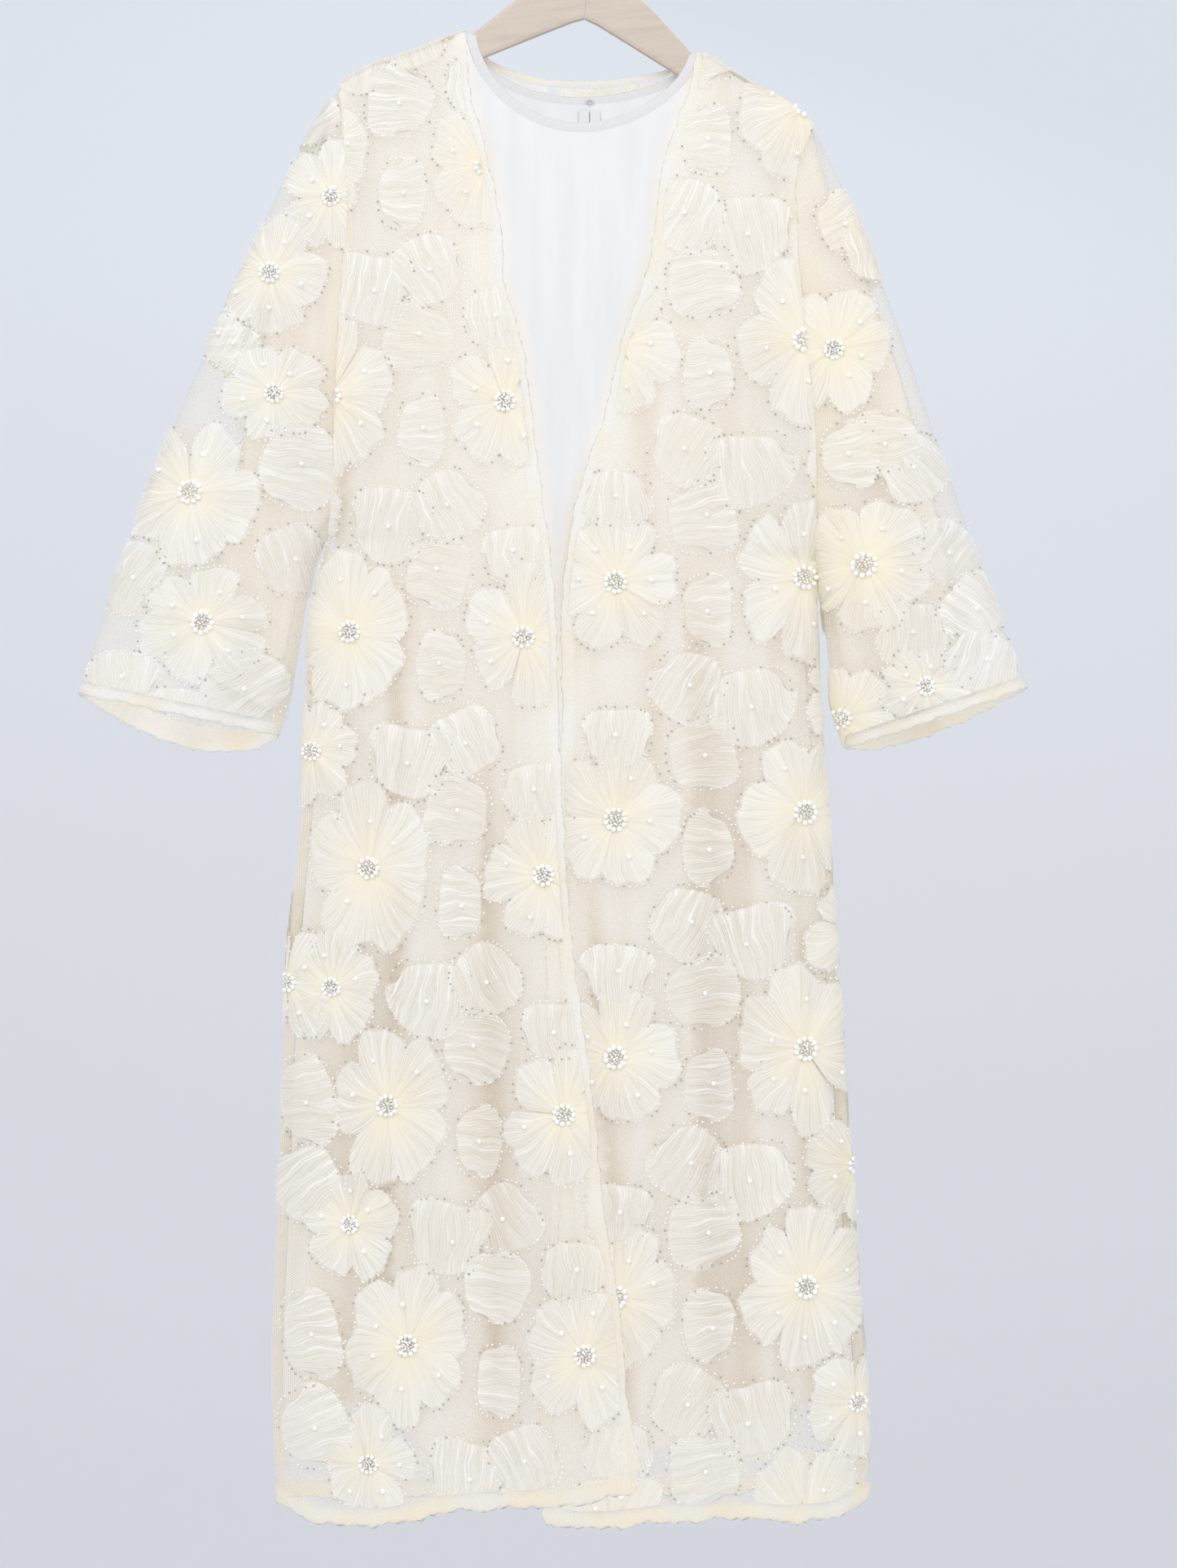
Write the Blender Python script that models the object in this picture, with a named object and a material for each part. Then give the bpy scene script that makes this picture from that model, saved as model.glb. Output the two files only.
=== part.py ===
"""Open-front net abaya with its under-dress, hanging on a wooden hanger.

Every place is worked out in millimetres and made in metres. X runs to the wearer's left, which is the
viewer's right. "drop" is the distance down from the hang point, the inside top of the hook, so z = -drop.
The front of the garment faces -Y. The body and the sleeves are flattened tubes: each wall is a sheet over
the front view (x, drop), and its depth in y comes from the section tables.
"""

import math

import bmesh
import bpy
import numpy as np
from mathutils import Vector
from mathutils.geometry import delaunay_2d_cdt

COLLECTION = "net_abaya"
MM = 0.001

# Cloth
NET_WALL = 1.2
SATIN_WALL = 1.2
SEAM_GAP = 0.4
LAYER_GAP = 9.0  # from the robe's wall to the under-dress's wall
OVERLAP_LIFT = 9.5  # how far the left front stands off the right front that it covers
OVERLAP_RAMP = (80.0, 52.0)  # where the lift starts outside the covered edge, and its length
FRONT, BACK = -1, 1
LEFT, RIGHT = -1, 1

# Hanger. It leans by TILT, and its own frame has its lower apex at the origin.
TILT = math.radians(5.0)
APEX_BELOW_HOOK = 110.0
HANGER_THICK = 10.0
HANGER_REACH = 194.0
WOOD_BELOW_SHOULDER = 6.0  # at the wood's top edge
DRESS_BELOW_ROBE = 1.8  # at the shoulders
ARM_DEPTH = {"robe": 24.0, "dress": 13.5}  # of each wall at the armhole's middle
SHOULDER_ROUND = 14.0  # the cloth over the shoulder is full depth this far below the shoulder line
HANGER_CHAMFER = 3.8
HOOK_WIRE = 1.9
HOOK_RADIUS = 19.0

# Closure of the under-dress's back
ZIP_X = -5.0
ZIP_TOP = 192.0
ZIP_LENGTH = 270.0
TAPE_WIDE = 9.0
TAPE_THICK = 1.0
PULL_LONG, PULL_WIDE, PULL_THICK = 20.0, 6.0, 1.8
EYE_DROP, EYE_RADIUS, EYE_WIRE = 184.5, 2.0, 0.5


def columns(names, rows):
    """A table as one array for each named column."""
    return {name: np.array([row[i] for row in rows], float) for i, name in enumerate(names.split())}


# The robe's body. left and right are where its front and back walls meet the sleeves or each other, and
# depth is how far each wall stands from the middle plane.
BODY = columns(
    "drop left right depth",
    [
        (170, -232.0, 199.0, 14),
        (212, -228.5, 198.0, 20),
        (242, -226.0, 184.5, 23),
        (307, -225.0, 182.0, 27),
        (384, -231.0, 188.0, 30),
        (475, -235.5, 197.5, 33),
        (553, -239.0, 200.0, 35),
        (585, -243.5, 200.0, 36),
        (602, -250.0, 200.0, 37),
        (670, -261.0, 201.5, 39),
        (820, -267.5, 211.0, 43),
        (940, -278.5, 218.5, 46),
        (1077, -286.0, 228.0, 50),
        (1200, -290.5, 236.0, 54),
        (1345, -296.0, 246.5, 58),
        (1476, -291.0, 251.0, 61),
    ],
)
# The shoulder line in the hanger's frame, the same on both sides.
SHOULDER = columns("reach height", [(107, -22.5), (158, -48.5), (188, -60.5), (216, -79)])
UNDERARM = {LEFT: 585.0, RIGHT: 600.0}
DRESS_UNDERARM = {LEFT: 560.0, RIGHT: 572.0}
SIDE_EASE = 11.0  # how far inside the robe's side the under-dress's side lies

# The front opening's two edges. The left front's crosses over the right front's at mid height.
OPENING = columns(
    "drop left right",
    [
        (124, -118.5, 94.0),
        (143, -117.5, 93.0),
        (182, -114.5, 85.5),
        (228, -102.0, 68.5),
        (272, -92.5, 58.5),
        (313, -85.0, 54.5),
        (352, -84.0, 46.0),
        (410, -67.5, 25.0),
        (473, -58.5, 10.5),
        (540, -50.0, -12.0),
        (630, -38.5, -28.0),
        (759, -33.5, -29.0),
        (939, -23.0, -43.0),
        (1102, -2.0, -38.0),
        (1196, 7.5, -31.0),
        (1282, 21.0, -41.0),
        (1378, 30.5, -49.0),
        (1445, 46.0, -52.0),
        (1476, 48.0, -53.0),
    ],
)
HEM = {
    ("front", LEFT): columns(
        "x drop",
        [(-291, 1462), (-268, 1473), (-188, 1476), (-137, 1464), (-74, 1458), (-10, 1451), (48, 1441)],
    ),
    ("front", RIGHT): columns(
        "x drop",
        [(-54, 1471), (11, 1476), (67, 1471), (124, 1470), (182, 1475), (225, 1471), (251, 1459)],
    ),
    ("back", 0): columns(
        "x drop",
        [(-291, 1462), (-230, 1473), (-150, 1475), (-60, 1470), (40, 1474), (130, 1469), (251, 1459)],
    ),
}
DRESS_HEM = columns(
    "x drop",
    [(-284, 1372), (-185, 1380), (-150, 1411), (-98, 1423), (20, 1414), (110, 1394), (182, 1372), (240, 1366)],
)
HEM_BAND = 16.0
EDGE_BAND = 6.0
CUFF_BAND = 12.0
NECK_BAND = 9.5
BACK_NECK_BAND = 7.0
BAND_WALL = 2.4

# Folds, each a soft ridge (height above 0) or trough down a line in the front view.
FOLDS = columns(
    "side x_top drop_top x_end drop_end height width",
    [
        (FRONT, 80, 600, 92, 1476, 8, 20),
        (FRONT, 124, 620, 134, 1476, -7, 20),
        (FRONT, 168, 690, 178, 1300, 4, 18),
        (FRONT, -172, 620, -150, 1200, 4, 20),
        (FRONT, -100, 800, -86, 1476, -7, 24),
        (FRONT, -40, 1000, -20, 1476, 8, 26),
        (FRONT, -215, 900, -232, 1476, -7, 22),
        (FRONT, 210, 1000, 222, 1476, 6, 15),
        (BACK, -150, 560, -175, 1476, 9, 24),
        (BACK, -70, 480, -80, 1476, -8, 26),
        (BACK, 30, 640, 38, 1476, 9, 22),
        (BACK, 110, 560, 128, 1476, -8, 24),
        (BACK, -235, 900, -245, 1476, -5, 20),
        (BACK, 180, 760, 196, 1476, 7, 18),
    ],
)

# Sleeves. share runs from the armhole (0) to the cuff (1). "out" is the outer fold, "in" the underarm seam,
# and depth how far each wall stands from the sleeve's middle plane.
SLEEVE = {
    LEFT: columns(
        "share out_x out_drop in_x in_drop depth",
        [
            (0, -232, 170.5, -243.5, 585, 24),
            (0.15, -275, 240, -256, 606, 25),
            (0.35, -334, 366, -262, 634, 27),
            (0.6, -400, 518, -268, 672, 30),
            (0.8, -438, 622, -275, 712, 32),
            (1, -472.5, 727, -289, 766, 34),
        ],
    ),
    RIGHT: columns(
        "share out_x out_drop in_x in_drop depth",
        [
            (0, 199, 208, 200, 600, 24),
            (0.15, 229, 270, 205.5, 628, 25),
            (0.35, 268, 366, 209, 660, 27),
            (0.6, 315, 503, 213.5, 697, 31),
            (0.8, 355, 616, 218, 738, 34),
            (1, 395.5, 722, 229.5, 778, 36),
        ],
    ),
}
DRESS_SLEEVE = {
    LEFT: columns(
        "share out_x out_drop in_x in_drop depth",
        [
            (0, -231.5, 173.5, -240, 560, 13.5),
            (0.15, -259, 247, -261, 596, 12),
            (0.35, -293, 355, -269, 630, 11),
            (0.6, -320, 492, -277, 668, 11),
            (0.8, -341, 590, -285, 706, 12),
            (1, -358, 708, -297, 742, 13),
        ],
    ),
    RIGHT: columns(
        "share out_x out_drop in_x in_drop depth",
        [
            (0, 198.5, 211, 200, 572, 13.5),
            (0.15, 217, 276, 212, 610, 12),
            (0.35, 247, 348, 217.5, 648, 11),
            (0.6, 282, 446, 223, 684, 11),
            (0.8, 312, 558, 228, 720, 12),
            (1, 336, 690, 237, 750, 13),
        ],
    ),
}
CUFF_DIP = {LEFT: 28.0, RIGHT: 13.0}  # how much lower the cuff's back rim hangs than its front rim
SLEEVE_FOLDS = columns(
    "across height width", [(0.3, 4, 0.09), (0.46, -4, 0.08), (0.66, 4, 0.08), (0.82, -3, 0.06)]
)

# The fabric's repeat, from the middle of its large flower. Big flowers have petals round a centre;
# the rest are single gathered petals. wide and high are diameters, turn is in degrees.
REPEAT_HIGH = 214.0
REPEAT = columns(
    "flower across down wide high turn",
    [
        (1, 0, 0, 106, 114, 0),
        (1, 171, -6, 106, 132, 25),
        (1, 218, 102, 84, 90, 10),
        (0, 4, -76, 62, 42, 0),
        (0, 62, -112, 62, 68, -12),
        (0, 126, -104, 74, 56, 4),
        (0, 68, -60, 60, 46, 0),
        (0, 80, 24, 48, 62, 0),
    ],
)
# Where each panel's repeats start: the x and drop of a large flower, the lean of the pattern in x for
# each millimetre of drop, which way "across" runs, and how much the panel's slant narrows the pattern.
PANEL_REPEATS = {
    "front_left": [(-64, 678, 0.083, -1, 0.92)],
    "front_right": [(18, 628, 0.0, 1, 1.0)],
    "back": [(-180, 640, -0.05, 1, 1.0), (30, 650, 0.0, 1, 1.0)],
}
# The flowers and petals of the sleeves, on the front and, a little moved, on the back.
SLEEVE_MOTIFS = {
    LEFT: columns(
        "flower x drop wide high turn",
        [
            (1, -292, 346, 90, 92, 0),
            (1, -291, 456, 88, 84, 30),
            (1, -364, 546, 112, 118, 10),
            (1, -352, 662, 102, 86, 40),
            (0, -338, 416, 42, 46, 0),
            (0, -273, 522, 56, 70, 0),
            (0, -420, 624, 50, 56, -20),
            (0, -428, 700, 60, 40, 0),
            (0, -312, 722, 56, 40, 0),
            (0, -284, 606, 40, 52, 20),
        ],
    ),
    RIGHT: columns(
        "flower x drop wide high turn",
        [
            (1, 222, 416, 84, 90, 0),
            (1, 246, 612, 104, 112, 20),
            (0, 262, 500, 56, 44, 20),
            (0, 288, 538, 58, 46, -10),
            (0, 318, 600, 56, 50, 10),
            (0, 338, 652, 56, 48, -20),
            (0, 250, 706, 50, 56, 10),
            (0, 310, 702, 60, 44, -30),
            (0, 228, 516, 44, 60, 0),
            (0, 366, 688, 40, 44, -20),
        ],
    ),
}
PETALS = 5
PETAL_RAISE = 3.4
CENTRE_RAISE = 2.6
RAISE_CLEAR = 9.0  # applique points keep this far from a panel's edge
CLOSE_STEPS = (4.5, 14.0)  # where an edge has points near the end at which the tube closes
# Rows of points inside an edge, as (how far inside, how far apart).
SHOULDER_ROWS = ((5, 11), (14, 20), (30, 32))
SIDE_ROWS = ((9, 40), (24, 44))
FOLD_ROWS_IN = ((6, 20), (18, 32))
ROBE_STEP, DRESS_STEP = 34.0, 48.0  # between points along the armholes


def smooth(knots, values):
    """A function that runs smoothly through the values at the knots and stays level past both ends."""
    slopes = np.gradient(values, knots)
    at = np.unique(np.concatenate([np.linspace(a, b, 13) for a, b in zip(knots, knots[1:])]))
    i = np.clip(np.searchsorted(knots, at) - 1, 0, len(knots) - 2)
    step = knots[i + 1] - knots[i]
    t = (at - knots[i]) / step
    fine = (
        (2 * t**3 - 3 * t**2 + 1) * values[i]
        + (t**3 - 2 * t**2 + t) * step * slopes[i]
        + (3 * t**2 - 2 * t**3) * values[i + 1]
        + (t**3 - t**2) * step * slopes[i + 1]
    )
    return lambda x: float(np.interp(x, at, fine))


def curves(table, key):
    """Each column of a table as a smooth function of its key column."""
    return {name: smooth(table[key], values) for name, values in table.items() if name != key}


def ease(value):
    """0 to 1 with soft ends."""
    value = min(1.0, max(0.0, value))
    return value * value * (3 - 2 * value)


def from_hanger(reach, height):
    """A point of the hanger's own frame as (x, drop)."""
    x = reach * math.cos(TILT) + (height - APEX_BELOW_HOOK) * math.sin(TILT)
    z = -reach * math.sin(TILT) + (height - APEX_BELOW_HOOK) * math.cos(TILT)
    return x, -z


def shoulder_points(side):
    """The shoulder line from the neck to the armhole."""
    return [from_hanger(side * r, h) for r, h in zip(SHOULDER["reach"], SHOULDER["height"])]


SHOULDER_LINE = np.array(sorted(shoulder_points(LEFT) + shoulder_points(RIGHT)))
BODY_AT = curves(BODY, "drop")
OPENING_AT = curves(OPENING, "drop")
HEM_AT = {key: smooth(table["x"], table["drop"]) for key, table in HEM.items()}
DRESS_HEM_AT = smooth(DRESS_HEM["x"], DRESS_HEM["drop"])
FOLD_ROWS = list(zip(*FOLDS.values()))


def shoulder_drop(x):
    return float(np.interp(x, SHOULDER_LINE[:, 0], SHOULDER_LINE[:, 1]))


def closing(below):
    """How open the tube is that far below the shoulder line, from 0 to 1."""
    return math.sqrt(min(1.0, max(0.0, below / SHOULDER_ROUND)))


class Layer:
    """The body tube of the robe or of the under-dress."""

    def __init__(self, inner):
        self.inner = inner
        self.underarm = DRESS_UNDERARM if inner else UNDERARM
        self.shoulder_step = DRESS_BELOW_ROBE if inner else 0.0
        self.arm_depth = ARM_DEPTH["dress" if inner else "robe"]

    def edge(self, side, drop):
        """Where the front and back walls meet the sleeve, or each other below the underarm."""
        robe = BODY_AT["left" if side == LEFT else "right"](drop)
        inset = SIDE_EASE * ease((drop - self.underarm[side] + 20) / 60) if self.inner else 0.0
        return robe - side * inset

    def seam_top(self, side):
        x, drop = shoulder_points(side)[-1]
        return drop + self.shoulder_step

    def seam_depth(self, side, drop):
        """The armhole's depth, which is 0 at its top and at the underarm."""
        top = self.seam_top(side)
        return self.arm_opening(side, drop) * closing(drop - top)

    def arm_opening(self, side, drop):
        """The armhole's depth without its close at the shoulder."""
        top = self.seam_top(side)
        t = min(1.0, max(0.15, (drop - top) / (self.underarm[side] - top)))
        return self.arm_depth * (4 * t * (1 - t)) ** 0.4

    def depth(self, face, x, drop):
        """How far the wall stands from the middle plane at (x, drop)."""
        left, right = self.edge(LEFT, drop), self.edge(RIGHT, drop)
        q = min(1.0, max(-1.0, (2 * x - left - right) / (right - left)))
        middle = BODY_AT["depth"](drop)
        if self.inner:
            middle = middle - min(LAYER_GAP, 0.38 * middle)
        arm = self.arm_opening(LEFT if q < 0 else RIGHT, drop)
        close = closing(drop - shoulder_drop(x) - self.shoulder_step)
        round_off = (1 - abs(q) ** 2.6) ** (0.75 if self.inner else 0.6)
        return (arm + (middle - arm) * round_off) * close + self.folds(face, x, drop, q)

    def folds(self, face, x, drop, q):
        total = 0.0
        for side, x_top, drop_top, x_end, drop_end, height, width in FOLD_ROWS:
            if side == face:
                t = (drop - drop_top) / (drop_end - drop_top)
                at = x_top + (x_end - x_top) * t
                ends = ease(t * 3) * ease((1.12 - t) * 6)
                total += height * ends * math.exp(-(((x - at) / width) ** 2))
        return total * (1 - abs(q) ** 6)


ROBE, DRESS = Layer(False), Layer(True)


def body_surface(layer, face, lifted=False):
    """Maps (x, drop) to a point on one wall of the body."""

    def place(x, drop):
        depth = layer.depth(face, x, drop)
        if lifted:
            depth += OVERLAP_LIFT * ease((x - OPENING_AT["right"](drop) + OVERLAP_RAMP[0]) / OVERLAP_RAMP[1])
        return (x, face * (SEAM_GAP / 2 + max(0.0, depth)), -drop)

    return place


class Sleeve:
    """A sleeve as a flattened tube between its outer fold and its underarm seam."""

    def __init__(self, layer, side):
        self.layer, self.side = layer, side
        self.row = curves((DRESS_SLEEVE if layer.inner else SLEEVE)[side], "share")
        self.top, self.bottom = layer.seam_top(side), layer.underarm[side]

    def to_seam(self, share, across):
        """How far in x the seam's own curve moves a point near it."""
        straight = self.row["out_x"](0) * (1 - across) + self.row["in_x"](0) * across
        seam = self.layer.edge(self.side, self.top + (self.bottom - self.top) * across)
        return (seam - straight) * max(0.0, 1 - share / 0.3) ** 2

    def chart(self, share, across):
        """(x, drop) of a point; across is 0 on the outer fold and 1 on the underarm seam."""
        out_x, out_drop = self.beyond("out", share)
        in_x, in_drop = self.beyond("in", share)
        x = out_x * (1 - across) + in_x * across + self.to_seam(share, across)
        return x, out_drop * (1 - across) + in_drop * across

    def locate(self, x, drop):
        """(share, across) of a point of the front view."""
        shift = 0.0
        for _ in range(5):
            low, high = 0.0, 1.35
            for _ in range(20):
                middle = (low + high) / 2
                ox, od = self.beyond("out", middle)
                ix, idrop = self.beyond("in", middle)
                turn = (ix - ox) * (drop - od) - (idrop - od) * (x - shift - ox)
                if turn * self.side < 0:
                    low = middle
                else:
                    high = middle
            span = (ix - ox) ** 2 + (idrop - od) ** 2
            across = ((x - shift - ox) * (ix - ox) + (drop - od) * (idrop - od)) / span
            across = min(1.0, max(0.0, across))
            shift = self.to_seam(middle, across)
        return middle, across

    def beyond(self, which, share):
        """A point of an edge, carried on in a straight line past the cuff."""
        if share <= 1:
            return self.row[which + "_x"](share), self.row[which + "_drop"](share)
        x1, d1 = self.beyond(which, 1.0)
        x0, d0 = self.beyond(which, 0.9)
        return x1 + (x1 - x0) * (share - 1) / 0.1, d1 + (d1 - d0) * (share - 1) / 0.1

    def depth(self, share, across):
        arch = math.sqrt(max(0.0, 4 * across * (1 - across)))
        seam = self.layer.seam_depth(self.side, self.top + (self.bottom - self.top) * across)
        out = ease(share / 0.35)
        free = self.row["depth"](share) * arch
        folds = 0.0
        if not self.layer.inner:
            for at, height, width in zip(*(SLEEVE_FOLDS[c] for c in ("across", "height", "width"))):
                folds += height * math.exp(-(((across - at) / width) ** 2))
        return seam + (free - seam) * out + folds * ease((share - 0.25) / 0.5) * arch

    def place(self, face):
        def at(x, drop):
            share, across = self.locate(x, drop)
            return (x, face * self.depth(share, across), -drop)

        return at

    def rim_point(self, face, across, back_from_cuff=0.0):
        """A point of the cuff's rim, or that far above it."""
        x1, d1 = self.chart(1.0, across)
        x0, d0 = self.chart(0.9, across)
        length = math.hypot(x1 - x0, d1 - d0)
        ux, ud = (x1 - x0) / length, (d1 - d0) / length
        dip = 0.0
        if face == BACK:
            dip = CUFF_DIP[self.side] * (4 * across * (1 - across)) ** 0.8 * (0.7 + 0.6 * across)
            dip *= 0.4 if self.layer.inner else 1.0
        step = dip - back_from_cuff
        return x1 + ux * step, d1 + ud * step


def spaced(points, step, closed_ends=()):
    """The points of a line again, about step apart, ends kept. Ends where the tube closes get more points."""
    p = np.array(points, float)
    along = np.concatenate([[0], np.cumsum(np.linalg.norm(np.diff(p, axis=0), axis=1))])
    low = CLOSE_STEPS[-1] if "start" in closed_ends else 0.0
    high = along[-1] - (CLOSE_STEPS[-1] if "end" in closed_ends else 0.0)
    at = list(np.linspace(low, high, max(2, int(math.ceil((high - low) / step)) + 1)))
    if "start" in closed_ends:
        at = [0.0, *CLOSE_STEPS[:-1], *at]
    if "end" in closed_ends:
        at = [*at, *(along[-1] - s for s in CLOSE_STEPS[-2::-1]), along[-1]]
    return [(float(np.interp(a, along, p[:, 0])), float(np.interp(a, along, p[:, 1]))) for a in at]


def inside(point, outline):
    x, y = point
    hit = False
    for (x0, y0), (x1, y1) in zip(outline, outline[1:] + outline[:1]):
        if (y0 > y) != (y1 > y) and x < (x1 - x0) * (y - y0) / (y1 - y0) + x0:
            hit = not hit
    return hit


def edge_distance(point, outline):
    a = np.array(outline)
    d = np.roll(a, -1, axis=0) - a
    t = np.clip(((point - a) * d).sum(1) / np.maximum((d * d).sum(1), 1e-9), 0, 1)
    return float(np.linalg.norm(point - a - t[:, None] * d, axis=1).min())


def motif_points(flower, x, drop, wide, high, turn):
    """(x, drop, raise) of the points of one applique."""
    found = [(x, drop, CENTRE_RAISE if flower else PETAL_RAISE)]
    turn = math.radians(turn)
    rings = [(0.28, PETALS, PETAL_RAISE), (0.5, 2 * PETALS, 0.0)] if flower else [(0.5, PETALS, 0.0)]
    for share, count, height in rings:
        for k in range(count):
            angle = turn + 2 * math.pi * k / count
            reach = share * (0.8 if count == 2 * PETALS and k % 2 else 1.0)
            across, down = reach * wide * math.cos(angle), reach * high * math.sin(angle)
            if not flower:
                across, down = (
                    across * math.cos(turn) - down * math.sin(turn),
                    across * math.sin(turn) + down * math.cos(turn),
                )
            found.append((x + across, drop + down, height))
    return found


def repeat_motifs(panel):
    """The appliques of a body panel: the fabric's repeat, all the way up and down it."""
    found = []
    for x0, drop0, lean, way, narrow in PANEL_REPEATS[panel]:
        for step in range(-3, 5):
            base = drop0 + step * REPEAT_HIGH
            for row in zip(*REPEAT.values()):
                flower, across, down, wide, high, turn = row
                drop = base + down
                x = x0 + way * across * narrow + lean * (drop - drop0)
                found.append((flower, x, drop, wide * narrow, high, way * turn))
    return found


def sleeve_motifs(side, face):
    shift = 0.0 if face == FRONT else 1.0
    rows = zip(*SLEEVE_MOTIFS[side].values())
    return [(f, x - side * 4 * shift, d + 6 * shift, w, h, t + 20 * shift) for f, x, d, w, h, t in rows]


def sheet(edges, place, lattice, motifs=(), flip=False):
    """One wall as points, faces and how far each point's applique is raised.

    edges is a list of (points, insets): the outline in order, with rows of points inside it, each row as
    (how far inside, how far apart).
    """
    outline = []
    for points, _ in edges:
        outline += points[:-1]
    chart = list(outline)
    raised = [0.0] * len(chart)

    def clear(point, gap, others):
        return all(math.hypot(point[0] - o[0], point[1] - o[1]) >= gap for o in others)

    for motif in motifs:
        added = []
        for x, drop, height in motif_points(*motif):
            if inside((x, drop), outline) and edge_distance((x, drop), outline) > RAISE_CLEAR:
                if clear((x, drop), 6.5, chart):
                    added.append((x, drop, height))
        for x, drop, height in added:
            chart.append((x, drop))
            raised.append(height)
    for points, insets in edges:
        for gap, step in insets:
            line = spaced(points, step / 2)
            for (x0, y0), (x1, y1), (x2, y2) in zip(line[::2], line[1::2], line[2::2]):
                length = math.hypot(x2 - x0, y2 - y0)
                nx, ny = -(y2 - y0) / length, (x2 - x0) / length
                for sign in (1, -1):
                    p = (x1 + sign * nx * gap, y1 + sign * ny * gap)
                    if inside(p, outline) and clear(p, 0.5 * gap, chart):
                        chart.append(p)
                        raised.append(0.0)
    across, down = lattice
    low, high = np.min(outline, axis=0), np.max(outline, axis=0)
    for j in range(int((high[1] - low[1]) / down) + 1):
        for i in range(int((high[0] - low[0]) / across) + 2):
            p = (low[0] + (i + 0.5 * (j % 2)) * across, low[1] + (j + 0.5) * down)
            if inside(p, outline) and edge_distance(p, outline) > 0.4 * across and clear(p, 0.6 * across, chart):
                chart.append(p)
                raised.append(0.0)
    count = len(outline)
    flat = [Vector((x, -drop)) for x, drop in chart]
    ring = [(i, (i + 1) % count) for i in range(count)]
    _, _, faces, origin, _, _ = delaunay_2d_cdt(flat, ring, [], 1, 1e-4)
    faces = [tuple(origin[v][0] for v in face) for face in faces]
    if flip:
        faces = [face[::-1] for face in faces]
    return [place(x, drop) for x, drop in chart], faces, raised, count


def normals_of(points, faces):
    p = np.array(points)
    total = np.zeros_like(p)
    for face in faces:
        a, b, c = (p[i] for i in face)
        n = np.cross(b - a, c - a)
        for i in face:
            total[i] += n
    return total / np.maximum(np.linalg.norm(total, axis=1), 1e-9)[:, None]


def material(name, colour, roughness, metallic=0.0):
    made = bpy.data.materials.new(name)
    made.use_nodes = True
    shader = made.node_tree.nodes["Principled BSDF"]
    shader.inputs["Base Color"].default_value = (*colour, 1)
    shader.inputs["Roughness"].default_value = roughness
    shader.inputs["Metallic"].default_value = metallic
    made.diffuse_color = (*colour, 1)
    return made


def finished(name, bm, finish):
    """Turns a bmesh into a smoothly shaded object in the collection."""
    bmesh.ops.recalc_face_normals(bm, faces=bm.faces)
    mesh = bpy.data.meshes.new(name)
    bm.to_mesh(mesh)
    bm.free()
    mesh.shade_smooth()
    mesh.set_sharp_from_angle(angle=math.radians(40))
    mesh.materials.append(finish)
    made = bpy.data.objects.new(name, mesh)
    bpy.data.collections[COLLECTION].objects.link(made)
    return made


def mesh_object(name, points, faces, finish):
    """A mesh object from points in millimetres."""
    mesh = bpy.data.meshes.new(name)
    mesh.from_pydata([tuple(c * MM for c in p) for p in points], [], faces)
    bm = bmesh.new()
    bm.from_mesh(mesh)
    bpy.data.meshes.remove(mesh)
    return finished(name, bm, finish)


def cloth_wall(name, points, faces, outward, thick, finish):
    """A closed wall: a plain inner skin, an outer skin that stands off it, and a rim."""
    count = len(points)
    outer = np.array(points) + outward * np.array(thick)[:, None]
    all_faces = [face[::-1] for face in faces] + [tuple(v + count for v in face) for face in faces]
    used = {}
    for face in faces:
        for a, b in zip(face, face[1:] + face[:1]):
            used[(a, b)] = True
    for a, b in used:
        if (b, a) not in used:
            all_faces.append((b + count, a + count, a, b))
    return mesh_object(name, [tuple(p) for p in points] + [tuple(p) for p in outer], all_faces, finish)


def keep_side(outward, face):
    """Turns normals that lean over the middle plane back to their own side."""
    outward[:, 1] = face * np.maximum(face * outward[:, 1], 0.12)
    return outward / np.linalg.norm(outward, axis=1)[:, None]


def band(name, line, outward, toward, wide, thick, finish, face=0, closed=False, gap=SEAM_GAP):
    """A binding along a panel's edge, made from the edge's own points and carried on past it."""
    line, outward = np.array(line), np.array(outward)
    along = np.gradient(line, axis=0) if not closed else np.roll(line, -1, 0) - np.roll(line, 1, 0)
    along /= np.linalg.norm(along, axis=1)[:, None]
    past = np.cross(along, outward)
    past /= np.linalg.norm(past, axis=1)[:, None]
    past *= np.sign((past * np.array(toward)).sum(1))[:, None]
    near, far = line + past * gap, line + past * (gap + wide)
    if face:
        far[:, 1] = face * np.maximum(face * far[:, 1], SEAM_GAP / 2)
    points, faces = [], []
    for i in range(len(line)):
        points += [near[i], far[i], far[i] + outward[i] * thick, near[i] + outward[i] * thick]
    count = len(line)
    for i in range(count if closed else count - 1):
        a, b = 4 * i, 4 * ((i + 1) % count)
        for k in range(4):
            m = (k + 1) % 4
            faces.append((a + k, b + k, b + m, a + m))
    if not closed:
        faces.append((0, 1, 2, 3))
        last = 4 * (count - 1)
        faces.append((last + 3, last + 2, last + 1, last))
    return mesh_object(name, [tuple(p) for p in points], faces, finish)


def hem_line(hem_at, x_from, x_to, step, raise_by):
    return spaced([(x, hem_at(x) - raise_by) for x in np.linspace(x_from, x_to, 25)], step)


def neck_line(drop_middle, power, steps, half=101.5, middle=-13.0):
    """The curve from the left neck point down to the middle and up to the right neck point."""
    left, right = shoulder_points(LEFT)[0], shoulder_points(RIGHT)[0]
    found = []
    for i in range(steps + 1):
        angle = math.pi * i / steps
        side = (1 + math.cos(angle)) / 2
        x = middle - half * math.cos(angle)
        top = left[1] * side + right[1] * (1 - side)
        x += (left[0] - (middle - half)) * side**4 + (right[0] - (middle + half)) * (1 - side) ** 4
        found.append((x, top + (drop_middle - top) * math.sin(angle) ** power))
    return found


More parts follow.
